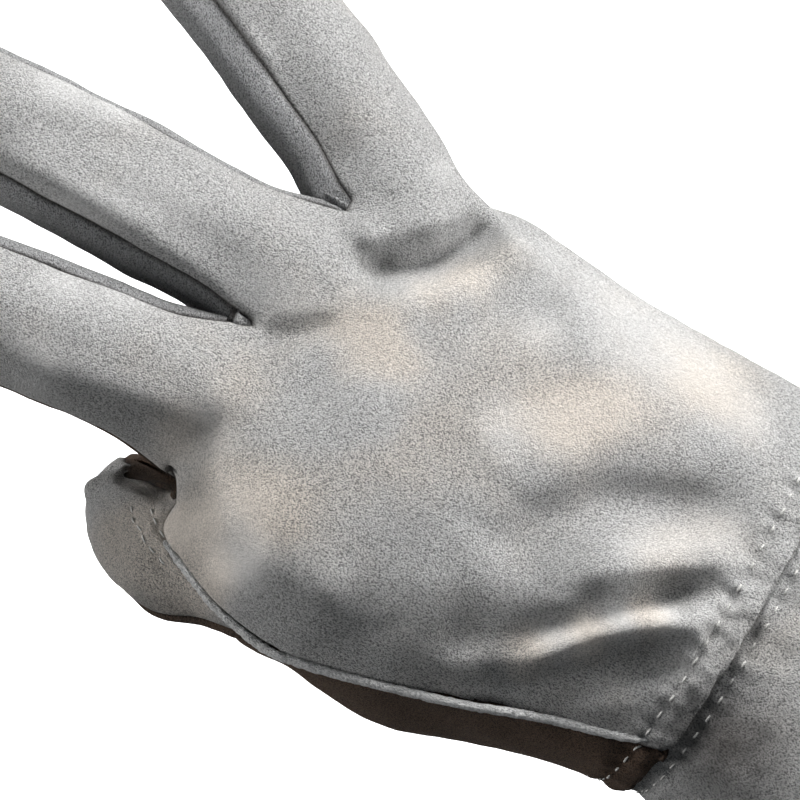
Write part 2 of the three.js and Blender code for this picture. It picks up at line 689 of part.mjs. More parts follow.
// The raised raw edge: a narrow strip that follows the side seam from the wrist to the thumb.
function buildWelt(seamLine, normals) {
  const stations = seamLine.slice(0, JOIN_ROW + 1);
  const rings = stations.map((p, i) => {
    const before = stations[Math.max(i - 1, 0)];
    const after = stations[Math.min(i + 1, stations.length - 1)];
    const along = after.clone().sub(before).normalize();
    const out = normals.get(keyOf(p));
    const across = along.clone().cross(out).normalize();
    const size = i === 0 || i === stations.length - 1 ? WELT.ends : 1;
    const half = (size * WELT.width) / 2;
    const rise = WELT.sink + size * (WELT.rise - WELT.sink);
    const corner = (a, b) => p.clone().addScaledVector(across, a).addScaledVector(out, b);
    return [
      corner(-half, WELT.sink),
      corner(half, WELT.sink),
      corner(half * 0.8, rise * 0.75),
      corner(0, rise),
      corner(-half * 0.8, rise * 0.75),
    ];
  });
  const count = rings[0].length;
  const faces = [];
  rings.slice(1).forEach((_, i) => {
    for (let j = 0; j < count; j += 1) {
      const a = i * count + j;
      const b = i * count + ((j + 1) % count);
      faces.push(a, b + count, b, a, a + count, b + count);
    }
  });
  const end = (rings.length - 1) * count;
  for (let j = 1; j + 1 < count; j += 1) {
    faces.push(0, j, j + 1);
    faces.push(end, end + j + 1, end + j);
  }
  const geometry = new THREE.BufferGeometry();
  const places = rings.flat().flatMap((p) => [p.x, p.y, p.z]);
  geometry.setAttribute("position", new THREE.Float32BufferAttribute(places, 3));
  geometry.setIndex(faces);
  geometry.computeVertexNormals();
  return geometry;
}

const back = buildPanel("back_panel", "back");
const palm = buildPanel("palm_panel", "palm");
flipped(palm.sheet);

const strips = [0, 1, 2].map((i) =>
  sideStrip(
    ["fourchette_index_middle", "fourchette_middle_ring", "fourchette_ring_little"][i],
    FINGERS[i],
    FINGERS[i + 1],
    { near: back.edges[i].last, far: back.edges[i + 1].first },
    { near: palm.edges[i].last, far: palm.edges[i + 1].first },
  ),
);

const seamColumn = (panel) => panel.rows.slice(JOIN_ROW, WEB_ROW + 1).map((row) => row[0]);
const thumbBack = thumbHalf(
  "thumb_back", seamColumn(back), 180, LIP_ANGLE, 1,
  (share) => ROOT_BOW * (1 - share ** 4),
);
const thumbFront = thumbHalf(
  "thumb_front", seamColumn(palm), 180, 360 + LIP_ANGLE, FRONT_CROWDING,
  (share) => ROOT_BOW * (1 - share) ** 3,
);
flipped(thumbFront);
const cuff = buildCuff();

const sheets = [back.sheet, palm.sheet, ...strips, thumbBack, thumbFront];
[back.sheet, palm.sheet, ...strips].forEach(evenOut);
const normals = sharedNormals(sheets);
const glove = new THREE.Group();
glove.position.x = -WRIST_CENTRE_X;

function addMesh(name, geometry, colour) {
  const mesh = new THREE.Mesh(geometry, suede(colour));
  mesh.name = name;
  glove.add(mesh);
}

sheets.forEach((sheet) => {
  const colour = sheet.name.startsWith("fourchette") ? SUEDE_SHADE : SUEDE_GREY;
  addMesh(sheet.name, thickened(sheet, normals, LEATHER, SEAM_GAP), colour);
});
addMesh("cuff", thickened(cuff, sharedNormals([cuff]), LEATHER, 0), SUEDE_GREY);
addMesh("side_welt", buildWelt(back.rows.map((row) => row[0]), normals), RAW_EDGE);

export default glove;
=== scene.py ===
import math

import bmesh
import bpy
import numpy as np
from mathutils import Matrix, Vector, kdtree, noise


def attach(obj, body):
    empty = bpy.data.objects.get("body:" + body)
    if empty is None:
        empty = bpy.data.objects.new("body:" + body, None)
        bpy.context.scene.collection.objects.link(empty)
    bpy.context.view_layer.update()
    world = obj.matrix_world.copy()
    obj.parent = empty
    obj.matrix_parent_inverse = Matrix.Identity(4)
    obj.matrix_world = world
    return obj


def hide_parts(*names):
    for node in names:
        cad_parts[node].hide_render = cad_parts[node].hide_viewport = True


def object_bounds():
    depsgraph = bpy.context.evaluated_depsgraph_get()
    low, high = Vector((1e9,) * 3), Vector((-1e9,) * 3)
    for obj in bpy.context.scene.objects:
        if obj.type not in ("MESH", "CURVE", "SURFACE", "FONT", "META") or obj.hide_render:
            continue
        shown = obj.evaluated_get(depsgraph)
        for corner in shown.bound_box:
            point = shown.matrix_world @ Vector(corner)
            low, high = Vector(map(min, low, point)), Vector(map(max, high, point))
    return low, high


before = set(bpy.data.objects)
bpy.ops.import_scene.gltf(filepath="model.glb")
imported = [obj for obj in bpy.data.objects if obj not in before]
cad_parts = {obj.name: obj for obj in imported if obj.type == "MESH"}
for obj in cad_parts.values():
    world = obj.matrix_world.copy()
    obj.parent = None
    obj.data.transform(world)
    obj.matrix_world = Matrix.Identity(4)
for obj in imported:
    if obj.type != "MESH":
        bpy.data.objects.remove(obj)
cadLow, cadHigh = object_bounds()
mm = 0.001


# the photograph's viewing angle, worked out in millimetres of the CAD frame
view = {
    "distance": 460.0,
    "pixelsPerMm": 5.4,
    "imageSize": 800.0,
    "sensorWidth": 36.0,
    "lean": 20.0,  # degrees towards the thumb side
    "gloveTurn": 32.5,  # degrees that the glove's length is turned in the picture
    "seen": (-6.0, 110.0, 0.0),  # this point lies at the pixel below
    "seenPixel": (416.0, 440.0),
}


def viewAxes():
    lean = math.radians(view["lean"])
    turn = math.radians(view["gloveTurn"])
    towards = Vector((-math.sin(lean), 0, math.cos(lean)))
    acrossGlove = Vector((-math.cos(lean), 0, -math.sin(lean)))
    alongGlove = Vector((0, 1, 0))
    right = -math.cos(turn) * alongGlove - math.sin(turn) * acrossGlove
    up = math.sin(turn) * alongGlove - math.cos(turn) * acrossGlove
    return right, up, towards


def makeCamera():
    right, up, towards = viewAxes()
    half = view["imageSize"] / 2
    offRight = (view["seenPixel"][0] - half) / view["pixelsPerMm"]
    offDown = (view["seenPixel"][1] - half) / view["pixelsPerMm"]
    target = Vector(view["seen"]) - right * offRight + up * offDown
    place = (target + towards * view["distance"]) * mm
    bpy.ops.object.camera_add()
    camera = bpy.context.object
    camera.name = "photoCamera"
    turned = Matrix((right, up, towards)).transposed().to_4x4()
    camera.matrix_world = Matrix.Translation(place) @ turned
    camera.data.sensor_width = view["sensorWidth"]
    camera.data.lens = view["sensorWidth"] * view["pixelsPerMm"] * view["distance"] / view["imageSize"]
    camera.data.clip_start = 0.02
    camera.data.clip_end = 20
    bpy.context.scene.camera = camera
    return target * mm


target = makeCamera()
print("camera ready")


# shader nodes, and the node group that all the leathers share
def newGroup(name, inputs, outputs):
    group = bpy.data.node_groups.new(name, "ShaderNodeTree")
    for label, value in inputs.items():
        socket = group.interface.new_socket(label, in_out="INPUT", socket_type="NodeSocketFloat")
        socket.default_value = value
    for label in outputs:
        group.interface.new_socket(label, in_out="OUTPUT", socket_type="NodeSocketFloat")
    start = group.nodes.new("NodeGroupInput")
    end = group.nodes.new("NodeGroupOutput")
    start.location = (-900, 0)
    end.location = (700, 0)
    return group, start, end


def addNode(tree, kind, x, y, **values):
    node = tree.nodes.new(kind)
    node.location = (x, y)
    for key, value in values.items():
        setattr(node, key, value)
    return node


def setInputs(node, values):
    for key, value in values.items():
        node.inputs[key].default_value = value


def addRange(tree, x, y, before, after, **values):
    node = addNode(tree, "ShaderNodeMapRange", x, y, **values)
    setInputs(node, {"From Min": before[0], "From Max": before[1]})
    setInputs(node, {"To Min": after[0], "To Max": after[1]})
    return node


# noise of the nap: its fibres, and the clumps that they lie in
napNoise = {
    "Fibres": {"Scale": 2600.0, "Detail": 3.0, "Roughness": 0.62, "Distortion": 0.25},
    "Clumps": {"Scale": 900.0, "Detail": 2.0, "Roughness": 0.5},
}


def makeNapGroup():
    inputs = {"Size": 1.0, "Stretch": 1.8, "Turn": 0.0}
    group, start, end = newGroup("suedeNap", inputs, ("Fibres", "Clumps"))
    links = group.links
    coords = addNode(group, "ShaderNodeTexCoord", -900, 300)
    rotate = addNode(group, "ShaderNodeVectorRotate", -720, 200, rotation_type="Z_AXIS")
    links.new(coords.outputs["Object"], rotate.inputs["Vector"])
    links.new(start.outputs["Turn"], rotate.inputs["Angle"])
    squeeze = addNode(group, "ShaderNodeMath", -720, 0, operation="DIVIDE")
    squeeze.inputs[0].default_value = 1.0
    links.new(start.outputs["Stretch"], squeeze.inputs[1])
    scaleBy = addNode(group, "ShaderNodeCombineXYZ", -560, 0)
    setInputs(scaleBy, {"X": 1.0, "Z": 1.0})
    links.new(squeeze.outputs[0], scaleBy.inputs["Y"])
    stretched = addNode(group, "ShaderNodeVectorMath", -400, 150, operation="MULTIPLY")
    links.new(rotate.outputs["Vector"], stretched.inputs[0])
    links.new(scaleBy.outputs["Vector"], stretched.inputs[1])
    sized = addNode(group, "ShaderNodeVectorMath", -240, 150, operation="SCALE")
    links.new(stretched.outputs["Vector"], sized.inputs[0])
    links.new(start.outputs["Size"], sized.inputs["Scale"])
    for label, y in (("Fibres", 250), ("Clumps", -50)):
        grain = addNode(group, "ShaderNodeTexNoise", -60, y)
        setInputs(grain, napNoise[label])
        links.new(sized.outputs["Vector"], grain.inputs["Vector"])
        links.new(grain.outputs["Fac"], end.inputs[label])
    return group


nap = makeNapGroup()

# what all the suede here shares
suede = {
    "sheenRoughness": 0.45,
    "sheenTint": (1, 0.99, 0.97, 1),
    "patches": {"Scale": 45.0, "Detail": 3.0},
    "patchRange": (0.45, 1.15),
    "clumpRange": (0.3, 0.7),
    "clumpShade": (0.88, 1.06),
    "fibreRange": (0.3, 0.7),
    "fibreRoughness": (1.0, 0.85),
    "clumpHeight": 0.5,  # share that the clumps add to the fibres' height
    "wearAndHighlightPits": 0.58,  # shade of the pits where the nap is worn smooth, and where a highlight is painted
    "wearAndHighlightBump": 0.3,  # share of the bump that is left there
    "bumpDistance": 0.0018,
}


def suedeMaterial(name, look):
    material = bpy.data.materials.new(name)
    material.use_nodes = True
    tree = material.node_tree
    links = tree.links
    shader = tree.nodes["Principled BSDF"]
    setInputs(shader, {
        "Specular IOR Level": look["specular"],
        "Sheen Weight": look["sheen"],
        "Sheen Roughness": suede["sheenRoughness"],
        "Sheen Tint": suede["sheenTint"],
    })
    fibres = addNode(tree, "ShaderNodeGroup", -900, 0, node_tree=nap)
    setInputs(fibres, {"Size": look["size"], "Stretch": look["stretch"], "Turn": look["turn"]})

    # cool leather, its warm patches, which are partly painted highlight and warm bounce light, and its
    # painted shade
    coords = addNode(tree, "ShaderNodeTexCoord", -1300, 400)
    patches = addNode(tree, "ShaderNodeTexNoise", -1100, 400)
    setInputs(patches, suede["patches"])
    links.new(coords.outputs["Object"], patches.inputs["Vector"])
    warmthAndHighlight = addNode(tree, "ShaderNodeAttribute", -1100, 650, attribute_name="warmthAndHighlight")
    warmer = addNode(tree, "ShaderNodeMath", -900, 500, operation="ADD")
    links.new(patches.outputs["Fac"], warmer.inputs[0])
    links.new(warmthAndHighlight.outputs["Fac"], warmer.inputs[1])
    patchMask = addRange(tree, -720, 400, suede["patchRange"], (0, 1), interpolation_type="SMOOTHSTEP")
    links.new(warmer.outputs[0], patchMask.inputs["Value"])
    tone = addNode(tree, "ShaderNodeMix", -520, 400, data_type="RGBA")
    setInputs(tone, {"A": (*look["cool"], 1), "B": (*look["warm"], 1)})
    links.new(patchMask.outputs["Result"], tone.inputs["Factor"])
    shadeMask = addNode(tree, "ShaderNodeAttribute", -720, 700, attribute_name="shadeMask")
    shaded = addNode(tree, "ShaderNodeMix", -400, 500, data_type="RGBA")
    shaded.inputs["B"].default_value = (*look["paintedShade"], 1)
    links.new(shadeMask.outputs["Fac"], shaded.inputs["Factor"])
    links.new(tone.outputs["Result"], shaded.inputs["A"])

    # dark pits between the fibres, shallower where the nap is worn and where a highlight is painted, and the
    # shade of the clumps
    pits = addRange(tree, -720, 100, look["pitRange"], (look["pitShade"], 1.0))
    links.new(fibres.outputs["Fibres"], pits.inputs["Value"])
    wearAndHighlight = addNode(tree, "ShaderNodeAttribute", -900, 200, attribute_name="wearAndHighlight")
    flatter = addNode(tree, "ShaderNodeMix", -520, 130)
    flatter.inputs["B"].default_value = suede["wearAndHighlightPits"]
    links.new(wearAndHighlight.outputs["Fac"], flatter.inputs["Factor"])
    links.new(pits.outputs["Result"], flatter.inputs["A"])
    lumps = addRange(tree, -720, -120, suede["clumpRange"], suede["clumpShade"])
    links.new(fibres.outputs["Clumps"], lumps.inputs["Value"])
    both = addNode(tree, "ShaderNodeMath", -520, 0, operation="MULTIPLY")
    links.new(flatter.outputs["Result"], both.inputs[0])
    links.new(lumps.outputs["Result"], both.inputs[1])
    colour = addNode(tree, "ShaderNodeMix", -300, 250, data_type="RGBA", blend_type="MULTIPLY")
    colour.inputs["Factor"].default_value = 1.0
    links.new(shaded.outputs["Result"], colour.inputs["A"])
    links.new(both.outputs[0], colour.inputs["B"])
    links.new(colour.outputs["Result"], shader.inputs["Base Color"])

    # roughness and bump of the nap
    matte = addRange(tree, -300, 0, suede["fibreRange"], suede["fibreRoughness"])
    links.new(fibres.outputs["Fibres"], matte.inputs["Value"])
    links.new(matte.outputs["Result"], shader.inputs["Roughness"])
    height = addNode(tree, "ShaderNodeMath", -520, -260, operation="MULTIPLY_ADD")
    height.inputs[1].default_value = suede["clumpHeight"]
    links.new(fibres.outputs["Clumps"], height.inputs[0])
    links.new(fibres.outputs["Fibres"], height.inputs[2])
    bump = addNode(tree, "ShaderNodeBump", -300, -260)
    softer = addRange(tree, -520, -420, (0, 1), (look["bump"], look["bump"] * suede["wearAndHighlightBump"]))
    links.new(wearAndHighlight.outputs["Fac"], softer.inputs["Value"])
    links.new(softer.outputs["Result"], bump.inputs["Strength"])
    bump.inputs["Distance"].default_value = suede["bumpDistance"]
    links.new(height.outputs[0], bump.inputs["Height"])
    links.new(bump.outputs["Normal"], shader.inputs["Normal"])
    return material


# colours and nap of each look, with the colour of its painted shade; the pits lie where the fibres' noise is
# below the pit range
backLook = {
    "cool": (0.765, 0.757, 0.746), "warm": (0.87, 0.79, 0.705), "paintedShade": (0.07, 0.055, 0.045),
    "specular": 0.1, "sheen": 0.2, "size": 1.9, "stretch": 2.0, "turn": 0.0,
    "pitRange": (0.41, 0.53), "pitShade": 0.26, "bump": 1.0,
}
# palm and thumb front: a dark brown copy of the suede, painted shade and warm bounce light of the underside
palmShadeLook = dict(
    backLook, cool=(0.19, 0.128, 0.09), warm=(0.26, 0.18, 0.125), sheen=0.03, specular=0.05, turn=0.5,
)
sideLook = dict(backLook, cool=(0.6, 0.6, 0.605), warm=(0.66, 0.63, 0.6), turn=0.8)
# the raw edge: paler leather, made paler still as painted highlight
edgeHighlightLook = dict(backLook, cool=(0.93, 0.925, 0.91), warm=(0.95, 0.93, 0.9), size=1.3, pitShade=0.65)
threadLook = dict(
    backLook, cool=(0.66, 0.65, 0.62), warm=(0.72, 0.69, 0.64), size=1.6, pitShade=0.8, bump=0.4,
)
backSuede = suedeMaterial("greySuede", backLook)
palmShadeSuede = suedeMaterial("shadeSuede", palmShadeLook)
sideSuede = suedeMaterial("sideSuede", sideLook)
edgeHighlightSuede = suedeMaterial("rawEdgeWithHighlight", edgeHighlightLook)
threadMaterial = suedeMaterial("offWhiteThread", threadLook)
print("materials ready")


# leather pieces: a refined copy of each CAD node
leather = {
    "thickness": 1.3 * mm,
    "levels": 2,
    "skin": ((0,), 52),  # ranks of the skins that are kept, and the bend in degrees that parts them
    "borderPasses": 4,  # times that spikes and notches are taken off a border
    "holeSides": 6,  # holes of up to this many sides are filled
    "quadBend": 50,  # triangles join to quads up to this bend and skew, in degrees
    "quadSkew": 70,
    "splitReach": 2.4 * mm,  # faces this near to a border, or below the next level, are split once more
    "splitBelow": 56 * mm,
    "seamDepth": 0.9,
    "seamWidth": 0.9,
    "seamReach": 2.6 * mm,  # borders this near to each other are drawn together
    "paintedShade": 0.85,  # painted shade in a seam's groove: how dark it is, and how wide
    "shadeWidth": 0.55,
    "wristEdge": 45 * mm,  # no seam below this
    "flush": [((-42.5, 140.5, -10.0), 7.5)],  # place and reach of a level stretch of seam
    "flushCore": 0.6,  # share of a flush spot's reach inside which the seam is level
    "thumbZone": (-30, 112, 160),  # x below the first, y between the others
    "sewnTo": {  # the pieces that each one is sewn to there
        "backLeather": ("thumbBackLeather",),
        "palmLeather": ("thumbFrontLeather",),
        "thumbBackLeather": ("backLeather", "thumbFrontLeather"),
        "thumbFrontLeather": ("palmLeather", "thumbBackLeather"),
    },
}

# nodes that keep other skins: their ranks, and the bend in degrees
skinRanks = {
    "fourchette_index_middle": ((0, 1), 40),
    "fourchette_middle_ring": ((0, 1), 40),
    "fourchette_ring_little": ((0, 2, 11, 17), 40),
}


def activate(piece):
    bpy.ops.object.select_all(action="DESELECT")
    piece.select_set(True)
    bpy.context.view_layer.objects.active = piece


def copyNode(nodeName, pieceName):
    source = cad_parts[nodeName]
    piece = bpy.data.objects.new(pieceName, source.data.copy())
    bpy.context.scene.collection.objects.link(piece)
    piece.data.materials.clear()
    piece.matrix_world = source.matrix_world
    activate(piece)
    bpy.ops.object.mode_set(mode="EDIT")
    bpy.ops.mesh.select_all(action="SELECT")
    bpy.ops.mesh.remove_doubles(threshold=2e-6)
    bpy.ops.object.mode_set(mode="OBJECT")
    return piece


# takes off spikes of a border and fills its notches: places where the border turns right back
def evenBorder(mesh):
    turnsBack = math.radians(125)
    smallArea = 4.5 * mm * mm
    for vert in list(mesh.verts):
        if not vert.is_valid or not vert.is_boundary:
            continue
        rim = [edge for edge in vert.link_edges if edge.is_boundary]
        if len(rim) != 2:
            continue
        before, after = (edge.other_vert(vert) for edge in rim)
        area = (before.co - vert.co).cross(after.co - vert.co).length / 2
        if area > smallArea or (vert.co - before.co).angle(after.co - vert.co, 0.0) < turnsBack:
            continue
        if len(vert.link_faces) == 1:
            bmesh.ops.delete(mesh, geom=[vert], context="VERTS")
            continue
        across = mesh.edges.get((before, after))
        if across is not None and not across.is_boundary:
            continue
        corners = (before, vert, after)
        if rim[0].link_loops[0].vert == before:
            corners = (vert, before, after)
        if mesh.faces.get(corners) is None:
            mesh.faces.new(corners)


# Faces joined by edges that bend less than the limit make one skin. The outer skin is the largest,
# and where a sharp crotch splits it, the skins that are kept are given by their rank in size.
def keepOuterSkin(piece, kept, limit):
    unknownBend = 4.0  # more than any limit, for an edge whose bend can't be told
    mesh = bmesh.new()
    mesh.from_mesh(piece.data)
    mesh.faces.ensure_lookup_table()
    skinOf = {}
    skins = []
    for first in mesh.faces:
        if first.index in skinOf:
            continue
        area = 0.0
        members = []
        waiting = [first]
        skinOf[first.index] = len(skins)
        while waiting:
            face = waiting.pop()
            members.append(face)
            area += face.calc_area()
            for edge in face.edges:
                if len(edge.link_faces) != 2 or edge.calc_face_angle(unknownBend) > limit:
                    continue
                for other in edge.link_faces:
                    if other.index not in skinOf:
                        skinOf[other.index] = len(skins)
                        waiting.append(other)
        skins.append((area, members))
    skins.sort(key=lambda skin: -skin[0])
    extra = [face for rank, (_, members) in enumerate(skins) if rank not in kept for face in members]
    bmesh.ops.delete(mesh, geom=extra, context="FACES")
    for _ in range(leather["borderPasses"]):
        evenBorder(mesh)
    rim = [edge for edge in mesh.edges if edge.is_boundary]
    bmesh.ops.holes_fill(mesh, edges=rim, sides=leather["holeSides"])
    mesh.to_mesh(piece.data)
    mesh.free()


def refine(piece, levels):
    activate(piece)
    bpy.ops.object.mode_set(mode="EDIT")
    bpy.ops.mesh.select_all(action="SELECT")
    bpy.ops.mesh.tris_convert_to_quads(
        face_threshold=math.radians(leather["quadBend"]),
        shape_threshold=math.radians(leather["quadSkew"]),
    )
    bpy.ops.object.mode_set(mode="OBJECT")
    finer = piece.modifiers.new("finer", "SUBSURF")
    finer.levels = levels
    finer.render_levels = levels
    finer.boundary_smooth = "PRESERVE_CORNERS"
    bpy.ops.object.modifier_apply(modifier=finer.name)


# numbers of the points and edges on a piece's open border
def borderOf(piece, wristEdge):
    mesh = bmesh.new()
    mesh.from_mesh(piece.data)
    points = [vert.index for vert in mesh.verts if vert.is_boundary and vert.co.y > wristEdge]
    edges = [
        [vert.index for vert in edge.verts] for edge in mesh.edges
        if edge.is_boundary and min(vert.co.y for vert in edge.verts) > wristEdge
    ]
    mesh.free()
    return np.array(points), np.array(edges)


# distance from each spot to the nearest stop
def awayFromSpots(spots, stops):
    tree = kdtree.KDTree(len(stops))
    for i, stop in enumerate(stops):
        tree.insert(stop, i)
    tree.balance()
    return np.array([tree.find(spot)[2] for spot in spots])


# splits each face that lies near, which is given as one true or false for each vertex
def splitFaces(piece, near):
    activate(piece)
    bpy.ops.object.mode_set(mode="EDIT")
    bpy.ops.mesh.select_mode(type="FACE")
    bpy.ops.mesh.select_all(action="DESELECT")
    bpy.ops.object.mode_set(mode="OBJECT")
    for face in piece.data.polygons:
        face.select = any(near[i] for i in face.vertices)
    bpy.ops.object.mode_set(mode="EDIT")
    bpy.ops.mesh.subdivide(number_cuts=1, smoothness=0)
    bpy.ops.object.mode_set(mode="OBJECT")


def thicken(piece, thickness):
    activate(piece)
    wall = piece.modifiers.new("wall", "SOLIDIFY")
    wall.thickness = thickness
    wall.offset = -1
    bpy.ops.object.modifier_apply(modifier=wall.name)
    bpy.ops.object.shade_smooth()


# smooth line through the given stops, as an array of points
def smoothLine(stops, stepsEach=6):
    spots = np.array(stops, float)
    padded = np.vstack([2 * spots[0] - spots[1], spots, 2 * spots[-1] - spots[-2]])
    line = []
    for i in range(1, len(padded) - 2):
        p0, p1, p2, p3 = padded[i - 1 : i + 3]
        for t in np.linspace(0, 1, stepsEach, endpoint=False):
            line.append(
                0.5 * (2 * p1 + (p2 - p0) * t + (2 * p0 - 5 * p1 + 4 * p2 - p3) * t**2
                       + (3 * p1 - p0 - 3 * p2 + p3) * t**3)
            )
    line.append(spots[-1])
    return np.array(line)


# distance from each spot to a line, the length along it, and the side (1 is left of its run)
def awayFromLine(spots, line):
    nearest = np.full(len(spots), 1e9)
    along = np.zeros(len(spots))
    side = np.ones(len(spots))
    lengths = np.linalg.norm(np.diff(line, axis=0), axis=1)
    before = np.concatenate([[0], np.cumsum(lengths)])
    for i, length in enumerate(lengths):
        run = (line[i + 1] - line[i]) / length
        t = np.clip((spots - line[i]) @ run, 0, length)
        off = spots - line[i] - t[:, None] * run
        far = np.linalg.norm(off, axis=1)
        closer = far < nearest
        nearest[closer] = far[closer]
        along[closer] = (before[i] + t)[closer]
        turn = run[0] * off[:, 1] - run[1] * off[:, 0]
        side[closer] = np.sign(turn)[closer]
    return nearest, along, side


def lineLength(line):
    return np.linalg.norm(np.diff(line, axis=0), axis=1).sum()


# 0 below low, 1 above high, and a smooth rise between
def smoothStep(value, low, high):
    t = np.clip((value - low) / (high - low), 0, 1)
    return t * t * (3 - 2 * t)


# 1 at a place, fading to 0 at its reach
def nearness(spots, place, reach):
    return 1 - smoothStep(np.linalg.norm(spots - np.array(place), axis=1), 0, reach)


# how much of a line's effect is left along it, with a fade at each end, as shares of its length
def fadeEnds(share, first, last):
    below = -0.02  # so that a little of it is left at the very end
    return smoothStep(share, below, first) * smoothStep(1 - share, below, last)


def readMesh(piece):
    count = len(piece.data.vertices)
    spots = np.empty(count * 3)
    normals = np.empty(count * 3)
    piece.data.vertices.foreach_get("co", spots)
    piece.data.vertex_normals.foreach_get("vector", normals)
    return spots.reshape(-1, 3), normals.reshape(-1, 3)


def writeMesh(piece, spots):
    piece.data.vertices.foreach_set("co", spots.ravel())
    piece.data.update()


# where the folds act: the height that the leather lies at, how far it faces up, and their fade
foldLimits = {"level": (0.0, 7.0), "facing": (0.0, 0.35), "fade": 0.22}

# folds of the back, in millimetres: a line of (x, y) stops, its height, and the width on
# the left and the right of its run
backFolds = [
    {"name": "knuckle valley", "height": -5.8, "left": 3.5, "right": 4.0, "fadeEnd": 0.28,
     "line": [(10.9, 139.8), (12.7, 133.1), (16.4, 127.6), (22.0, 123.9), (28.0, 121.6), (34.0, 120.0),
              (39.5, 118.8)]},
    {"name": "ring knuckle", "height": 2.6, "left": 4.2, "right": 3.2, "fadeEnd": 0.4,
     "line": [(13.8, 140.1), (19.3, 137.2), (22.7, 133.4), (25.9, 130.0), (29.7, 126.5), (34.0, 123.7)]},
    {"name": "knuckle lip", "height": 1.4, "left": 4.0, "right": 6.0,
     "line": [(2.2, 132.6), (9.6, 126.6), (16.7, 120.1), (26.9, 114.6), (37.7, 110.7)]},
    {"name": "outer valley", "height": -1.7, "left": 4.0, "right": 4.0,
     "line": [(6.0, 114.2), (13.8, 110.0), (22.7, 107.0), (31.5, 105.5), (40.7, 104.3)]},
    {"name": "crotch valley", "height": -2.0, "left": 2.6, "right": 3.0,
     "line": [(-12.0, 144.5), (-7.8, 140.7), (-3.7, 136.2), (-0.5, 131.5)]},
    {"name": "crotch ridge", "height": 0.8, "left": 2.4, "right": 3.0,
     "line": [(-14.0, 141.0), (-8.6, 136.3), (-2.6, 130.8)]},
    {"name": "broad valley", "height": -3.6, "left": 5.5, "right": 6.5,
     "line": [(-26.5, 91.5), (-21.6, 88.0), (-12.0, 81.4), (-4.9, 74.9), (0.3, 67.4), (5.0, 59.6),
              (10.3, 53.3)]},
    {"name": "middle finger edge", "height": 2.1, "left": 3.4, "right": 1.7,
     "line": [(-6.0, 206.0), (-5.6, 191.7), (-5.2, 180.0), (-5.2, 170.0), (-5.2, 161.0), (-5.6, 154.3),
              (-6.2, 148.5)]},
    {"name": "middle finger dip", "height": -1.1, "left": 3.6, "right": 3.2,
     "line": [(0.5, 203.0), (2.8, 194.8), (5.2, 187.8), (7.8, 178.7), (9.8, 169.2)]},
    {"name": "index finger edge", "height": 1.7, "left": 4.6, "right": 3.0,
     "line": [(-38.5, 186.0), (-37.2, 172.6), (-35.4, 165.4), (-34.0, 157.8), (-32.2, 150.6), (-30.6, 144.7),
              (-29.5, 140.5)]},
    {"name": "ring finger side", "height": -1.6, "left": 7.5, "right": 3.0,
     "line": [(47.0, 180.0), (43.0, 174.4), (39.1, 168.7), (35.0, 162.7), (30.9, 156.8), (27.6, 151.4),
              (24.7, 147.0), (23.2, 143.5)]},
    {"name": "thumb side swell", "height": 2.2, "left": 8.0, "right": 4.0,
     "line": [(-34.5, 144.0), (-36.5, 139.5), (-39.6, 132.2), (-41.6, 125.5), (-43.0, 118.7), (-43.6, 110.0),
              (-43.6, 102.0)]},
    {"name": "little finger seam", "height": -0.5, "left": 0.9, "right": 0.9,
     "line": [(50.4, 146.2), (46.0, 140.2), (42.4, 134.9), (39.4, 129.8), (37.2, 126.3)]},
    {"name": "light band", "height": 2.6, "left": 3.8, "right": 3.0,
     "line": [(-20.5, 76.3), (-13.2, 68.2), (-6.5, 59.4), (1.0, 49.4)]},
    {"name": "wrist crease", "height": -3.3, "left": 3.2, "right": 1.9, "fadeEnd": 0.3,
     "line": [(-37.8, 80.4), (-35.0, 76.6), (-31.6, 73.3), (-27.3, 70.1), (-23.1, 66.7), (-17.7, 61.7),
              (-12.8, 56.3), (-6.6, 49.2)]},
    {"name": "wrist crease slope", "height": -2.0, "left": 7.0, "right": 2.5,
     "line": [(-40.5, 90.0), (-37.5, 84.0), (-33.5, 79.0), (-29.3, 74.7), (-24.2, 69.8)]},
    {"name": "wrist ridge", "height": 2.4, "left": 3.0, "right": 3.0,
     "line": [(-38.1, 78.7), (-33.9, 73.5), (-30.2, 69.9), (-26.2, 66.4), (-22.6, 62.7), (-19.3, 58.5),
              (-15.8, 52.4), (-13.1, 46.9)]},
    {"name": "lower valley", "height": -2.6, "left": 4.5, "right": 4.0,
     "line": [(-43.2, 80.8), (-39.4, 73.2), (-35.6, 67.7), (-31.2, 62.4), (-27.2, 56.9), (-23.7, 51.2),
              (-20.1, 46.6)]},
    {"name": "low ridge", "height": 0.9, "left": 3.5, "right": 3.5,
     "line": [(-37.5, 65.0), (-34.6, 60.5), (-30.0, 55.5), (-25.6, 50.5), (-23.0, 46.0)]},
    {"name": "fine crease", "height": -0.35, "left": 1.8, "right": 1.8,
     "line": [(-12.7, 99.4), (-12.7, 89.2), (-11.8, 79.4)]},
    {"name": "fine crease 2", "height": -0.35, "left": 1.8, "right": 1.8,
     "line": [(-21.0, 102.6), (-20.7, 88.5), (-19.6, 76.8)]},
    {"name": "fine crease 3", "height": -0.35, "left": 1.8, "right": 1.8,
     "line": [(-23.6, 86.7), (-22.6, 75.0), (-20.5, 68.2)]},
]


def foldBack(piece, folds):
    spots, normals = readMesh(piece)
    flat = spots[:, :2] / mm
    upper = smoothStep(spots[:, 2] / mm, *foldLimits["level"])
    upper = upper * smoothStep(normals[:, 2], *foldLimits["facing"])
    move = np.zeros(len(spots))
    for fold in folds:
        line = smoothLine(fold["line"])
        far, along, side = awayFromLine(flat, line)
        width = np.where(side > 0, fold["left"], fold["right"])
        fadeEnd = fold.get("fadeEnd", foldLimits["fade"])
        ends = fadeEnds(along / lineLength(line), foldLimits["fade"], fadeEnd)
        move += fold["height"] * ends * np.exp(-((far / width) ** 2))
    towards = np.array(viewAxes()[2])
    writeMesh(piece, spots + towards * (move * upper * mm)[:, None])


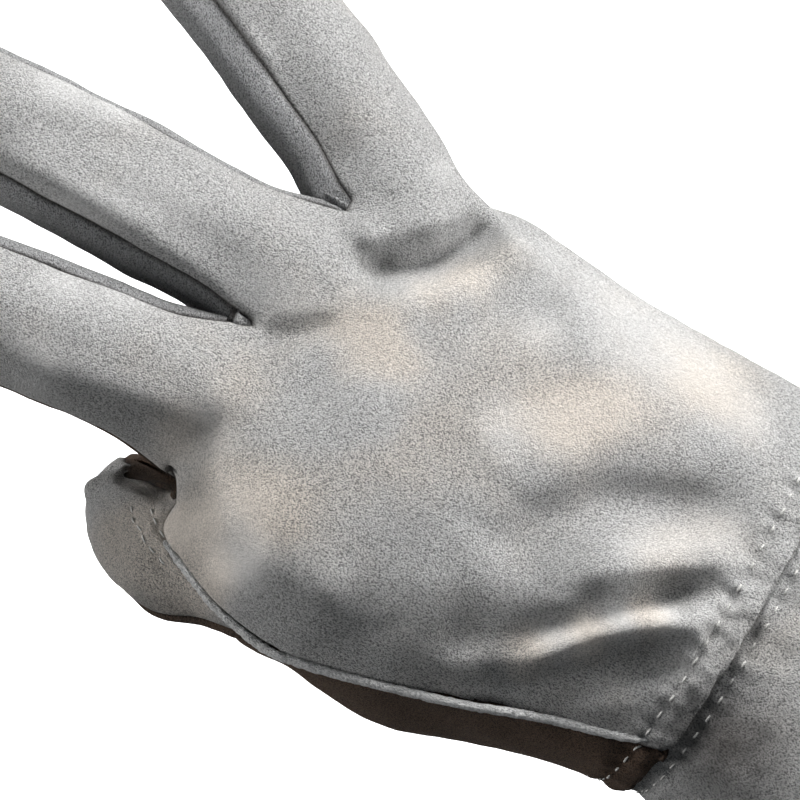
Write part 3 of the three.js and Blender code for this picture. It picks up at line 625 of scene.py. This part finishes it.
# Each border is drawn halfway to the nearest border of another skin. Then both sink along the
# seam, in the direction that they share, and a seam inside a flush spot stays level.
def closeSeams(skins, look):
    shapes = {name: readMesh(piece) for name, piece in skins.items()}
    borders = {name: borderOf(piece, look["wristEdge"]) for name, piece in skins.items()}
    thumbEdge, thumbLow, thumbHigh = look["thumbZone"]
    outOfReach = 1.0
    for name, piece in skins.items():
        spots, normals = shapes[name]
        others = [o for o in skins if o != name]
        starts = np.vstack([shapes[o][0][borders[o][1][:, 0]] for o in others])
        ends = np.vstack([shapes[o][0][borders[o][1][:, 1]] for o in others])
        turned = np.vstack([shapes[o][1][borders[o][1][:, 0]] for o in others])
        sewnTo = look["sewnTo"].get(name, ())
        sewn = np.concatenate([np.full(len(borders[o][1]), o in sewnTo) for o in others])
        runs = ends - starts
        lengths = (runs**2).sum(axis=1)
        moved = spots.copy()
        sinking = {}
        for index in borders[name][0]:
            t = np.clip(((spots[index] - starts) * runs).sum(axis=1) / lengths, 0, 1)
            nearest = starts + t[:, None] * runs
            far = np.linalg.norm(spots[index] - nearest, axis=1)
            x, y, _ = spots[index] / mm
            if x < thumbEdge and thumbLow < y < thumbHigh:
                far[~sewn] = outOfReach  # round the thumb, each piece keeps to its own neighbours
            best = far.argmin()
            normal = normals[index]
            if far[best] < look["seamReach"]:
                moved[index] = (spots[index] + nearest[best]) / 2
                normal = normal + turned[best]
                normal = normal / np.linalg.norm(normal)
            depth = look["seamDepth"]
            for at, reach in look["flush"]:
                away = np.linalg.norm(spots[index] / mm - np.array(at))
                depth *= float(smoothStep(away, reach * look["flushCore"], reach))
            sinking[index] = (normal, depth)
        points = list(sinking)
        tree = kdtree.KDTree(len(points))
        for i, index in enumerate(points):
            tree.insert(moved[index], i)
        tree.balance()
        shadeMask = np.zeros(len(spots))
        for i, spot in enumerate(moved.copy()):
            _, nearest, far = tree.find(spot)
            away = far / mm
            if away < 3 * look["seamWidth"]:  # the seam's groove has run out past this
                normal, depth = sinking[points[nearest]]
                share = math.exp(-((away / look["seamWidth"]) ** 2))
                moved[i] -= normal * depth * mm * share
                # painted shade along the seam's groove, darkest where it sinks deepest
                shadeMask[i] = depth / look["seamDepth"] * math.exp(-((away / look["shadeWidth"]) ** 2))
        writeMesh(piece, moved)
        paint(piece, "shadeMask", shadeMask * look["paintedShade"])


# leather stands up between its seams, where it faces to one side in x
def puffUp(piece, height, rise, towardsX):
    fullFacing = 0.4
    spots, normals = readMesh(piece)
    points, _ = borderOf(piece, leather["wristEdge"])
    far = awayFromSpots(spots, spots[points]) / mm
    facing = smoothStep(normals[:, 0] * towardsX, 0.0, fullFacing)
    writeMesh(piece, spots + normals * (height * facing * smoothStep(far, 0, rise) * mm)[:, None])


# the edge of a panel below a level lies down on what is under it
def layDown(piece, level, drop, bend=1.5):
    spots, normals = readMesh(piece)
    y = spots[:, 1] / mm
    share = np.clip((level - y) / (level - y.min()), 0, 1) ** bend
    writeMesh(piece, spots - normals * (share * drop * mm)[:, None])


# the wrist end of a side piece is drawn out, so that it reaches under the panels at the crotch
def drawOut(piece, start, end):
    spots, _ = readMesh(piece)
    y = spots[:, 1] / mm
    share = np.clip((start - y) / (start - y.min()), 0, 1)
    spots[:, 1] = np.where(share > 0, start - share * (start - end), y) * mm
    writeMesh(piece, spots)


def paint(piece, name, values):
    if name not in piece.data.attributes:
        piece.data.attributes.new(name, "FLOAT", "POINT")
    piece.data.attributes[name].data.foreach_set("value", np.asarray(values, float))


# draws the leather near a spot along the picture's right, up and towards, as a grab brush does
def grab(pieces, pulls):
    right, up, towards = viewAxes()
    for piece in pieces:
        spots, _ = readMesh(piece)
        for pull in pulls:
            weight = nearness(spots / mm, pull["at"], pull["reach"])
            a, b, c = pull["move"]
            spots = spots + weight[:, None] * np.array(right * a + up * b + towards * c) * mm
        writeMesh(piece, spots)


# presses the leather away from the viewer along lines, by their distance in the picture
def press(pieces, dents):
    right, up, towards = viewAxes()
    plane = np.array([right, up]).T
    for piece in pieces:
        spots, _ = readMesh(piece)
        for dent in dents:
            line = smoothLine(dent["line"])
            far, along, side = awayFromLine(spots / mm @ plane, line @ plane)
            near, _, _ = awayFromLine(spots / mm, line)
            share = along / lineLength(line @ plane)
            width = np.where(side > 0, dent["left"], dent["right"])
            weight = fadeEnds(share, dent["fade"], dent["fade"]) * np.exp(-((far / width) ** 2))
            weight = weight * (1 - smoothStep(near, *dentReach))
            spots = spots - weight[:, None] * np.array(towards) * dent["depth"] * mm
        writeMesh(piece, spots)


# the groove that a row of stitches pulls in, deepest at each needle hole
def pullIn(piece, line, look):
    spots, normals = readMesh(piece)
    far, along, _ = awayFromLine(spots / mm, line)
    holes = 0.5 + 0.5 * np.cos(2 * np.pi * along / look["pitch"])
    depth = look["groove"] * np.exp(-((far / look["grooveWidth"]) ** 2))
    depth += look["pucker"] * (holes - 0.5) * np.exp(-((far / look["puckerWidth"]) ** 2))
    writeMesh(piece, spots - normals * (depth * mm)[:, None])


# slow unevenness that worn leather has
def unevenSkin(piece, height, size, seed, lowest=-1000, highest=1000, fade=5):
    spots, normals = readMesh(piece)
    offset = Vector((seed, seed * 1.7, -seed))
    y = spots[:, 1] / mm
    share = smoothStep(y, lowest - fade, lowest) * (1 - smoothStep(y, highest, highest + fade))
    move = np.zeros(len(spots))
    for i in np.flatnonzero(share > 0.01):
        move[i] = share[i] * noise.noise(Vector(spots[i]) / mm / size + offset)
    writeMesh(piece, spots + normals * (move * height * mm)[:, None])


# the line where a level across the glove meets its leather, one point each few degrees
def levelLine(pieces, y, start):
    band = 2 * mm
    stepDegrees = 2.5
    outside = 0.1  # metres from the middle, well clear of the leather
    spots = np.vstack([readMesh(piece)[0] for piece in pieces])
    ring = spots[abs(spots[:, 1] - y * mm) < band]
    middle = (ring.min(axis=0) + ring.max(axis=0)) / 2
    line = []
    for step in range(int(360 / stepDegrees) + 1):
        turn = math.radians(start + step * stepDegrees)
        away = Vector((math.cos(turn), 0, math.sin(turn)))
        origin = Vector((middle[0], y * mm, middle[2])) + away * outside
        hits = [piece.ray_cast(origin, -away) for piece in pieces]
        hits = [hit[1] for hit in hits if hit[0]]
        if hits:
            line.append(np.array(max(hits, key=lambda hit: (hit - origin).dot(away))) / mm)
    return np.array(line)


# shape of the thumb: pulls with their moves along the picture's right, up and towards, then dents
thumbPulls = [
    {"at": (-55.0, 133.0, -18.0), "move": (-0.2, -1.2, 0.0), "reach": 10.0},
    {"at": (-33.0, 151.8, -25.0), "move": (-2.2, -1.2, 0.0), "reach": 7.0},
    {"at": (-38.0, 157.2, -31.5), "move": (-1.8, 0.5, 1.0), "reach": 5.0},
    {"at": (-33.0, 156.0, -33.5), "move": (1.2, -1.2, -2.0), "reach": 4.5},
]
webPulls = [
    {"at": (-38.0, 144.5, -12.0), "move": (3.4, 0.3, 0.0), "reach": 8.0},
]
dentReach = (8, 14)  # distances from its line between which a dent runs out
thumbDents = [
    {"name": "thumb hollow", "depth": 6.5, "left": 3.0, "right": 2.4, "fade": 0.25,
     "line": [(-33.5, 155.5, -28.0), (-34.0, 151.5, -23.0), (-35.2, 148.0, -17.0), (-36.5, 145.0, -11.0),
              (-37.0, 142.5, -7.0)]},
    {"name": "lip crease", "depth": 2.0, "left": 1.6, "right": 0.8, "fade": 0.2,
     "line": [(-36.0, 156.0, -28.0), (-37.2, 150.9, -19.6), (-38.4, 146.4, -13.5), (-38.6, 143.3, -10.0),
              (-39.0, 141.0, -6.0)]},
]

# side pieces: how far their wrist ends are drawn out, from a level to a level in y, and how
# they stand up: height, distance from the seam over which they rise, and side that they face in x
sideEnds = [("indexSideLeather", 151.0, 141.2), ("middleSideLeather", 148.0, 138.4)]
sidePuffs = [
    ("middleSideLeather", 2.2, 4.5, -1), ("middleSideLeather", 0.6, 3.0, 1),
    ("indexSideLeather", 0.8, 3.0, 1), ("indexSideLeather", 0.8, 3.0, -1),
]

# unevenness: height, size and seed, and at the wrist also its lowest and highest level in y
skinWaves = [(0.5, 11, 0), (0.14, 4, 20)]
wristWaves = [(0.7, 5.0, 40, 30, 50), (0.4, 2.2, 41, 30, 47)]

# stitches: those of the wrist go right round, those of the thumb follow lines of (x, y, z) stops
wristSewing = {
    "level": 48.3, "cuffLevel": 40.8, "start": 100.0, "hem": 47.0, "hemDrop": 0.9,
    "pitch": 3.9, "length": 1.7, "thickness": 0.38,
    "groove": 0.45, "grooveWidth": 1.1, "pucker": 0.5, "puckerWidth": 2.4,
}
thumbSewing = {
    "pitch": 2.9, "length": 1.9, "thickness": 0.38,
    "groove": 0.3, "grooveWidth": 0.8, "pucker": 0.2, "puckerWidth": 1.5,
    "rows": [
        [(-41.0, 148.9, -16.5), (-44.1, 146.5, -14.1), (-45.8, 143.9, -11.7), (-47.2, 142.4, -11.4),
         (-48.0, 140.0, -10.8), (-49.2, 136.5, -10.0)],
        [(-40.0, 145.5, -12.6), (-42.0, 143.6, -11.6), (-43.6, 141.5, -10.7), (-45.0, 138.9, -10.1),
         (-46.6, 136.5, -9.1)],
    ],
}

# warm patches, partly the leather's own tone and partly painted highlight and warm bounce light: place in x
# and y, reach in millimetres and strength
warmAndHighlightSpots = [
    ((4, 130), 10, 0.4), ((12, 122.5), 9, 0.4), ((21, 117), 9, 0.4), ((30, 114), 9, 0.35),
    ((0, 122), 10, 0.35), ((9, 88), 17, 0.3), ((18, 79), 17, 0.3), ((28, 67), 18, 0.3),
    ((-33, 74), 7, 0.5), ((-26, 67), 7, 0.5), ((-36, 127), 14, 0.35), ((-38, 138), 12, 0.35),
    ((-12, 104), 16, 0.25), ((-2, 112), 14, 0.2), ((-46, 138), 9, 0.6), ((-46, 148), 10, 0.6),
    ((-50, 138), 14, 0.7), ((-52, 128), 10, 0.6), ((-1, 133), 8, 0.3), ((2, 126), 8, 0.3),
    ((-6, 127), 8, 0.35), ((-2, 120), 8, 0.3), ((-33, 148), 8, 0.35), ((0, 95), 12, 0.3),
    ((5, 89), 12, 0.3), ((10, 85), 12, 0.25), ((-20, 140), 12, 0.25), ((1, 57), 12, 0.3),
    ((-7, 65), 12, 0.3), ((-30, 120), 16, 0.3), ((-20, 112), 14, 0.25), ((-18, 60), 6, 0.5),
    ((12, 100), 16, 0.2),
]

# places where the nap is worn smooth, and smooth bright places of painted highlight
wearAndHighlightSpots = [
    ((28, 90), 14, 0.6), ((27, 80), 14, 0.7), ((25, 71), 14, 0.8), ((24, 62), 11, 0.7),
    ((33, 104), 10, 0.25), ((34, 114), 8, 0.2), ((20, 115), 8, 0.35), ((18, 102), 9, 0.5),
    ((14, 190), 9, 0.5), ((11, 200), 10, 0.5), ((-22, 178), 9, 0.5), ((-18, 168), 8, 0.4),
    ((38, 133), 6, 0.4), ((-44, 138), 8, 0.6), ((3, 56), 9, 0.55), ((-4, 62), 9, 0.6),
    ((-9, 67), 9, 0.45), ((-38, 130), 11, 0.6), ((-21, 63.5), 6, 0.9), ((-17, 57.5), 6, 0.9),
    ((-26, 67.5), 6, 0.9), ((-30, 72), 6, 0.8), ((-2, 99), 9, 0.45), ((2, 93), 11, 0.5),
    ((7, 88), 11, 0.5), ((13, 83), 11, 0.5), ((-5, 97), 7, 0.4), ((0, 88), 7, 0.5),
    ((-26, 144), 8, 0.6), ((-33, 148), 8, 0.4), ((-36, 174), 8, 0.5), ((-8, 187), 8, 0.5),
    ((-4, 181), 8, 0.5), ((0, 175), 8, 0.5), ((3, 168), 8, 0.4), ((-2, 149), 8, 0.6),
    ((1, 142), 7, 0.5), ((-1, 133), 9, 0.45), ((3, 126), 10, 0.4), ((-6, 126), 10, 0.4),
    ((-2, 119), 11, 0.4), ((-12, 49), 8, 0.5), ((-20, 49), 7, 0.4), ((-4, 49), 7, 0.4),
    ((-46, 124), 8, 0.6), ((-42, 143), 7, 0.5), ((13, 124), 9, 0.45), ((18, 119), 9, 0.35),
    ((-30, 141), 9, 0.5), ((-46, 126), 9, 0.6), ((34, 99), 9, 0.35), ((35, 90), 10, 0.35),
    ((35, 80), 10, 0.35), ((33, 71), 10, 0.35), ((36, 107), 7, 0.3),
]

# painted shade where shadow falls: the thumb's underside and hollow, beside the cuff and low on the back;
# places in x, y and z
shadeSpots = [
    ((-55, 135, -20), 9, 0.6), ((-54.5, 127, -16), 8, 0.65), ((-53.5, 119, -10), 7, 0.6),
    ((-31.5, 148.5, -27), 6, 0.85), ((-33.5, 147, -20), 7, 0.85), ((-30, 151, -34), 7, 0.6),
    ((-29, 36, 18), 18, 0.8), ((-30, 42, 16), 9, 0.6), ((-53, 131, -16), 8, 0.4),
    ((-38, 62, 12.5), 9, 0.3), ((-36, 54, 14), 9, 0.3), ((-44, 84, 8), 12, 0.2),
]

# each CAD node, the piece that stands for it, its slot and its material
skinNodes = [
    ("back_panel", "backLeather", "suede", backSuede),
    ("palm_panel", "palmLeather", "suede", palmShadeSuede),
    ("thumb_back", "thumbBackLeather", "suede", backSuede),
    ("thumb_front", "thumbFrontLeather", "suede", palmShadeSuede),
    ("fourchette_index_middle", "indexSideLeather", "suede_side", sideSuede),
    ("fourchette_middle_ring", "middleSideLeather", "suede_side", sideSuede),
    ("fourchette_ring_little", "ringSideLeather", "suede_side", sideSuede),
    ("cuff", "cuffLeather", "suede", backSuede),
]

skins = {}
for nodeName, pieceName, slotName, material in skinNodes:
    piece = copyNode(nodeName, pieceName)
    kept, limit = skinRanks.get(nodeName, leather["skin"])
    keepOuterSkin(piece, kept, math.radians(limit))
    big = nodeName in ("back_panel", "palm_panel")
    refine(piece, leather["levels"] if big else leather["levels"] + 1)
    if big:
        spots, _ = readMesh(piece)
        points, _ = borderOf(piece, 0)
        nearBorder = awayFromSpots(spots, spots[points]) < leather["splitReach"]
        splitFaces(piece, nearBorder | (spots[:, 1] < leather["splitBelow"]))
    piece.data.materials.append(material)
    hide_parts(nodeName)
    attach(piece, "root")
    skins[pieceName] = piece

panels = {name: piece for name, piece in skins.items() if name != "cuffLeather"}
foldBack(skins["backLeather"], backFolds)
for number, piece in enumerate(skins.values()):
    for height, size, seed in skinWaves:
        unevenSkin(piece, height, size, number + seed)
thumbPieces = [skins["thumbBackLeather"], skins["thumbFrontLeather"]]
grab(thumbPieces, thumbPulls)
grab(panels.values(), webPulls)
press(thumbPieces, thumbDents)
for name in ("backLeather", "palmLeather", "cuffLeather"):
    for wave in wristWaves:
        unevenSkin(skins[name], *wave)
for name, start, end in sideEnds:
    drawOut(skins[name], start, end)
for name, height, rise, towardsX in sidePuffs:
    puffUp(skins[name], height, rise, towardsX)
for name in ("backLeather", "palmLeather"):
    layDown(skins[name], wristSewing["hem"], wristSewing["hemDrop"])
closeSeams(panels, leather)
wristPieces = [skins["backLeather"], skins["palmLeather"]]
wristLine = levelLine(wristPieces, wristSewing["level"], wristSewing["start"])
cuffLine = levelLine([skins["cuffLeather"]], wristSewing["cuffLevel"], wristSewing["start"])
for piece in wristPieces:
    pullIn(piece, wristLine, wristSewing)
pullIn(skins["cuffLeather"], cuffLine, wristSewing)
thumbLines = [smoothLine(row) for row in thumbSewing["rows"]]
for line in thumbLines:
    pullIn(skins["thumbBackLeather"], line, thumbSewing)
for name, piece in skins.items():
    spots, _ = readMesh(piece)
    warm = np.zeros(len(spots))
    wearAndHighlight = np.zeros(len(spots))
    if name in ("backLeather", "thumbBackLeather"):
        flat = spots[:, :2] / mm
        # warm tone, partly the leather's own and partly painted highlight and warm bounce light
        for place, reach, strength in warmAndHighlightSpots:
            warm += strength * nearness(flat, place, reach)
        # wear, partly real and partly painted highlight
        for place, reach, strength in wearAndHighlightSpots:
            wearAndHighlight = 1 - (1 - wearAndHighlight) * (1 - strength * nearness(flat, place, reach))
    # painted shade: that of the seams' grooves, deepened at the shade spots
    paintedShade = np.zeros(len(spots))
    if "shadeMask" in piece.data.attributes:
        piece.data.attributes["shadeMask"].data.foreach_get("value", paintedShade)
    for place, reach, strength in shadeSpots:
        paintedShade = np.maximum(paintedShade, strength * nearness(spots / mm, place, reach))
    paint(piece, "warmthAndHighlight", warm)
    paint(piece, "wearAndHighlight", wearAndHighlight)
    paint(piece, "shadeMask", paintedShade)
    thicken(piece, leather["thickness"])
print("leather ready")

# the raw edge that stands along the thumb and side seams: one rounded strip with a ragged surface
welt = {
    "thickness": 1.7,
    "ragged": 0.24,  # height and size of the ragged surface
    "raggedSize": 0.8,
    "shift": (-0.25, -0.35, -0.2),  # along the picture's right, up and towards
    "stepsEach": 14,
    "roundness": 3,
    "taper": (-2, 8),  # steps from an end between which the strip grows to its thickness
    "slowStart": 3,  # the thumb end tapers this many times slower
    "line": [
        (-44.4, 141.0, -10.9), (-45.1, 138.9, -10.2), (-45.9, 136.8, -9.5), (-46.8, 134.9, -8.9),
        (-48.7, 131.0, -7.2), (-50.5, 127.0, -6.0),
        (-51.8, 123.4, -4.7), (-52.9, 119.1, -3.2), (-53.7, 115.8, -1.8), (-54.2, 112.5, -0.4),
        (-54.1, 109.3, 1.1), (-52.0, 99.4, 3.8), (-49.0, 89.1, 6.1), (-45.8, 78.9, 8.1),
        (-41.9, 69.0, 9.7), (-39.4, 62.3, 10.6), (-36.2, 52.1, 12.4), (-34.2, 47.0, 13.6),
    ],
}


def makeStrip(name, look, material):
    a, b, c = look["shift"]
    right, up, towards = viewAxes()
    bpy.ops.object.select_all(action="DESELECT")
    bpy.ops.curve.primitive_nurbs_path_add()
    strip = bpy.context.object
    strip.name = name
    strip.data.splines.clear()
    shift = np.array(right * a + up * b + towards * c)
    line = (smoothLine(look["line"], look["stepsEach"]) + shift) * mm
    spline = strip.data.splines.new("POLY")
    spline.points.add(len(line) - 1)
    for i, spot in enumerate(line):
        spline.points[i].co = (*spot, 1)
        fromEnd = min(i / look["slowStart"], len(line) - 1 - i)
        spline.points[i].radius = float(smoothStep(fromEnd, *look["taper"]))
    strip.data.dimensions = "3D"
    strip.data.bevel_depth = look["thickness"] / 2 * mm
    strip.data.bevel_resolution = look["roundness"]
    strip.data.use_fill_caps = True
    bpy.ops.object.convert(target="MESH")
    strip = bpy.context.object
    spots, normals = readMesh(strip)
    ragged = np.array([noise.noise(Vector(spot) / mm / look["raggedSize"]) for spot in spots])
    writeMesh(strip, spots + normals * (ragged * look["ragged"] * mm)[:, None])
    strip.data.materials.clear()
    strip.data.materials.append(material)
    bpy.ops.object.shade_smooth()
    return strip


weltLeather = makeStrip("weltLeather", welt, edgeHighlightSuede)
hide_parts("side_welt")
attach(weltLeather, "root")
print("welt ready")


# one stitch: how much wider its ends are, how high its middle lies, and how far its ends dive in
stitchShape = {"wideEnds": 0.7, "lift": 0.11, "dive": 0.34}


def makeStitch(look):
    bpy.ops.object.select_all(action="DESELECT")
    bpy.ops.mesh.primitive_uv_sphere_add(segments=8, ring_count=6, radius=0.5 * mm)
    stitch = bpy.context.object
    bpy.ops.object.mode_set(mode="EDIT")
    bpy.ops.mesh.select_all(action="SELECT")
    bpy.ops.transform.rotate(value=math.pi / 2, orient_axis="X", center_override=(0, 0, 0))
    bpy.ops.transform.resize(value=(look["thickness"], look["length"], look["thickness"]))
    bpy.ops.object.mode_set(mode="OBJECT")
    for vert in stitch.data.vertices:
        share = vert.co.y / (look["length"] * 0.5 * mm)
        vert.co.x *= 1 + stitchShape["wideEnds"] * share**2
        vert.co.z += (stitchShape["lift"] - stitchShape["dive"] * share**2) * mm
    return stitch


# a row of stitches along each line, each one lying on the nearest leather
def sewRow(name, lines, pieces, look):
    lookAhead = 0.5
    model = makeStitch(look)
    row = []
    for line in lines:
        steps = np.linalg.norm(np.diff(line, axis=0), axis=1)
        before = np.concatenate([[0], np.cumsum(steps)])
        for along in np.arange(look["pitch"] / 2, before[-1], look["pitch"]):
            spot = np.array([np.interp(along, before, line[:, k]) for k in range(3)])
            ahead = np.array([np.interp(along + lookAhead, before, line[:, k]) for k in range(3)])
            hits = [piece.closest_point_on_mesh(Vector(spot) * mm) for piece in pieces]
            _, place, normal, _ = min(hits, key=lambda hit: (hit[1] - Vector(spot) * mm).length)
            run = Vector(ahead - spot)
            run = (run - normal * run.dot(normal)).normalized()
            stitch = model.copy()
            stitch.data = model.data.copy()
            bpy.context.scene.collection.objects.link(stitch)
            turned = Matrix((run.cross(normal), run, normal)).transposed().to_4x4()
            stitch.matrix_world = Matrix.Translation(place) @ turned
            row.append(stitch)
    bpy.data.objects.remove(model)
    bpy.ops.object.select_all(action="DESELECT")
    for stitch in row:
        stitch.select_set(True)
    bpy.context.view_layer.objects.active = row[0]
    bpy.ops.object.join()
    bpy.ops.object.transform_apply(location=True, rotation=True, scale=True)
    sewn = bpy.context.object
    sewn.name = name
    sewn.data.materials.append(threadMaterial)
    bpy.ops.object.shade_smooth()
    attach(sewn, "root")


sewRow("wristStitches", [wristLine], wristPieces, wristSewing)
sewRow("cuffStitches", [cuffLine], [skins["cuffLeather"]], wristSewing)
sewRow("thumbStitches", thumbLines, [skins["thumbBackLeather"], skins["backLeather"]], thumbSewing)
print("stitches ready")


# plain pale floor and soft studio light
studio = {
    "backdrop": 0.85,  # brightness of the sky for the camera
    "floorDrop": 0.25,
    "floorSize": 6.0,
    "floorColour": (0.9, 0.9, 0.9, 1),
    "floorGlow": 0.6,
    "lightDistance": 1.2,
    "lights": [  # turn from the picture's right, rise towards the camera, power and size
        {"name": "keyLight", "turn": 15, "rise": 5, "power": 23.0, "size": 0.6},
        {"name": "topLight", "turn": 92, "rise": 14, "power": 25.0, "size": 0.6},
        {"name": "leftLight", "turn": 176, "rise": 10, "power": 11.0, "size": 0.6},
    ],
    "skyColour": (0.9, 0.95, 1.0, 1),
    "skyRange": (-0.35, 0.6),  # between these heights the ground's strength turns into the sky's
    "skyStrength": (0.03, 0.16),
}


def makeStudio():
    right, up, towards = viewAxes()
    floorPlace = (0, 0, cadLow.z - studio["floorDrop"])
    bpy.ops.mesh.primitive_plane_add(size=studio["floorSize"], location=floorPlace)
    floor = bpy.context.object
    floor.name = "studioFloor"
    paper = bpy.data.materials.new("paleFloor")
    paper.use_nodes = True
    setInputs(paper.node_tree.nodes["Principled BSDF"], {
        "Base Color": studio["floorColour"],
        "Emission Color": (1, 1, 1, 1),
        "Emission Strength": studio["floorGlow"],
    })
    floor.data.materials.append(paper)
    floor.visible_diffuse = False
    for lamp in studio["lights"]:
        turn = math.radians(lamp["turn"])
        rise = math.radians(lamp["rise"])
        flat = right * math.cos(turn) + up * math.sin(turn)
        direction = flat * math.cos(rise) + towards * math.sin(rise)
        bpy.ops.object.light_add(type="AREA", location=target + direction * studio["lightDistance"])
        light = bpy.context.object
        light.name = lamp["name"]
        light.rotation_euler = (-direction).to_track_quat("-Z", "Y").to_euler()
        light.data.shape = "DISK"
        light.data.size = lamp["size"]
        light.data.energy = lamp["power"]
    world = bpy.data.worlds.new("studioWorld")
    bpy.context.scene.world = world
    world.use_nodes = True
    tree = world.node_tree
    background = tree.nodes["Background"]
    background.inputs["Color"].default_value = studio["skyColour"]
    coords = addNode(tree, "ShaderNodeTexCoord", -800, 0)
    height = addNode(tree, "ShaderNodeSeparateXYZ", -600, 0)
    strength = addRange(tree, -400, 0, studio["skyRange"], studio["skyStrength"])
    tree.links.new(coords.outputs["Generated"], height.inputs[0])
    tree.links.new(height.outputs["Z"], strength.inputs["Value"])
    rays = addNode(tree, "ShaderNodeLightPath", -400, 300)
    seen = addNode(tree, "ShaderNodeMix", -200, 100)
    seen.inputs["B"].default_value = studio["backdrop"]
    tree.links.new(rays.outputs["Is Camera Ray"], seen.inputs["Factor"])
    tree.links.new(strength.outputs["Result"], seen.inputs["A"])
    tree.links.new(seen.outputs["Result"], background.inputs["Strength"])
    bpy.context.scene.view_settings.view_transform = "Standard"


makeStudio()
print("studio ready")
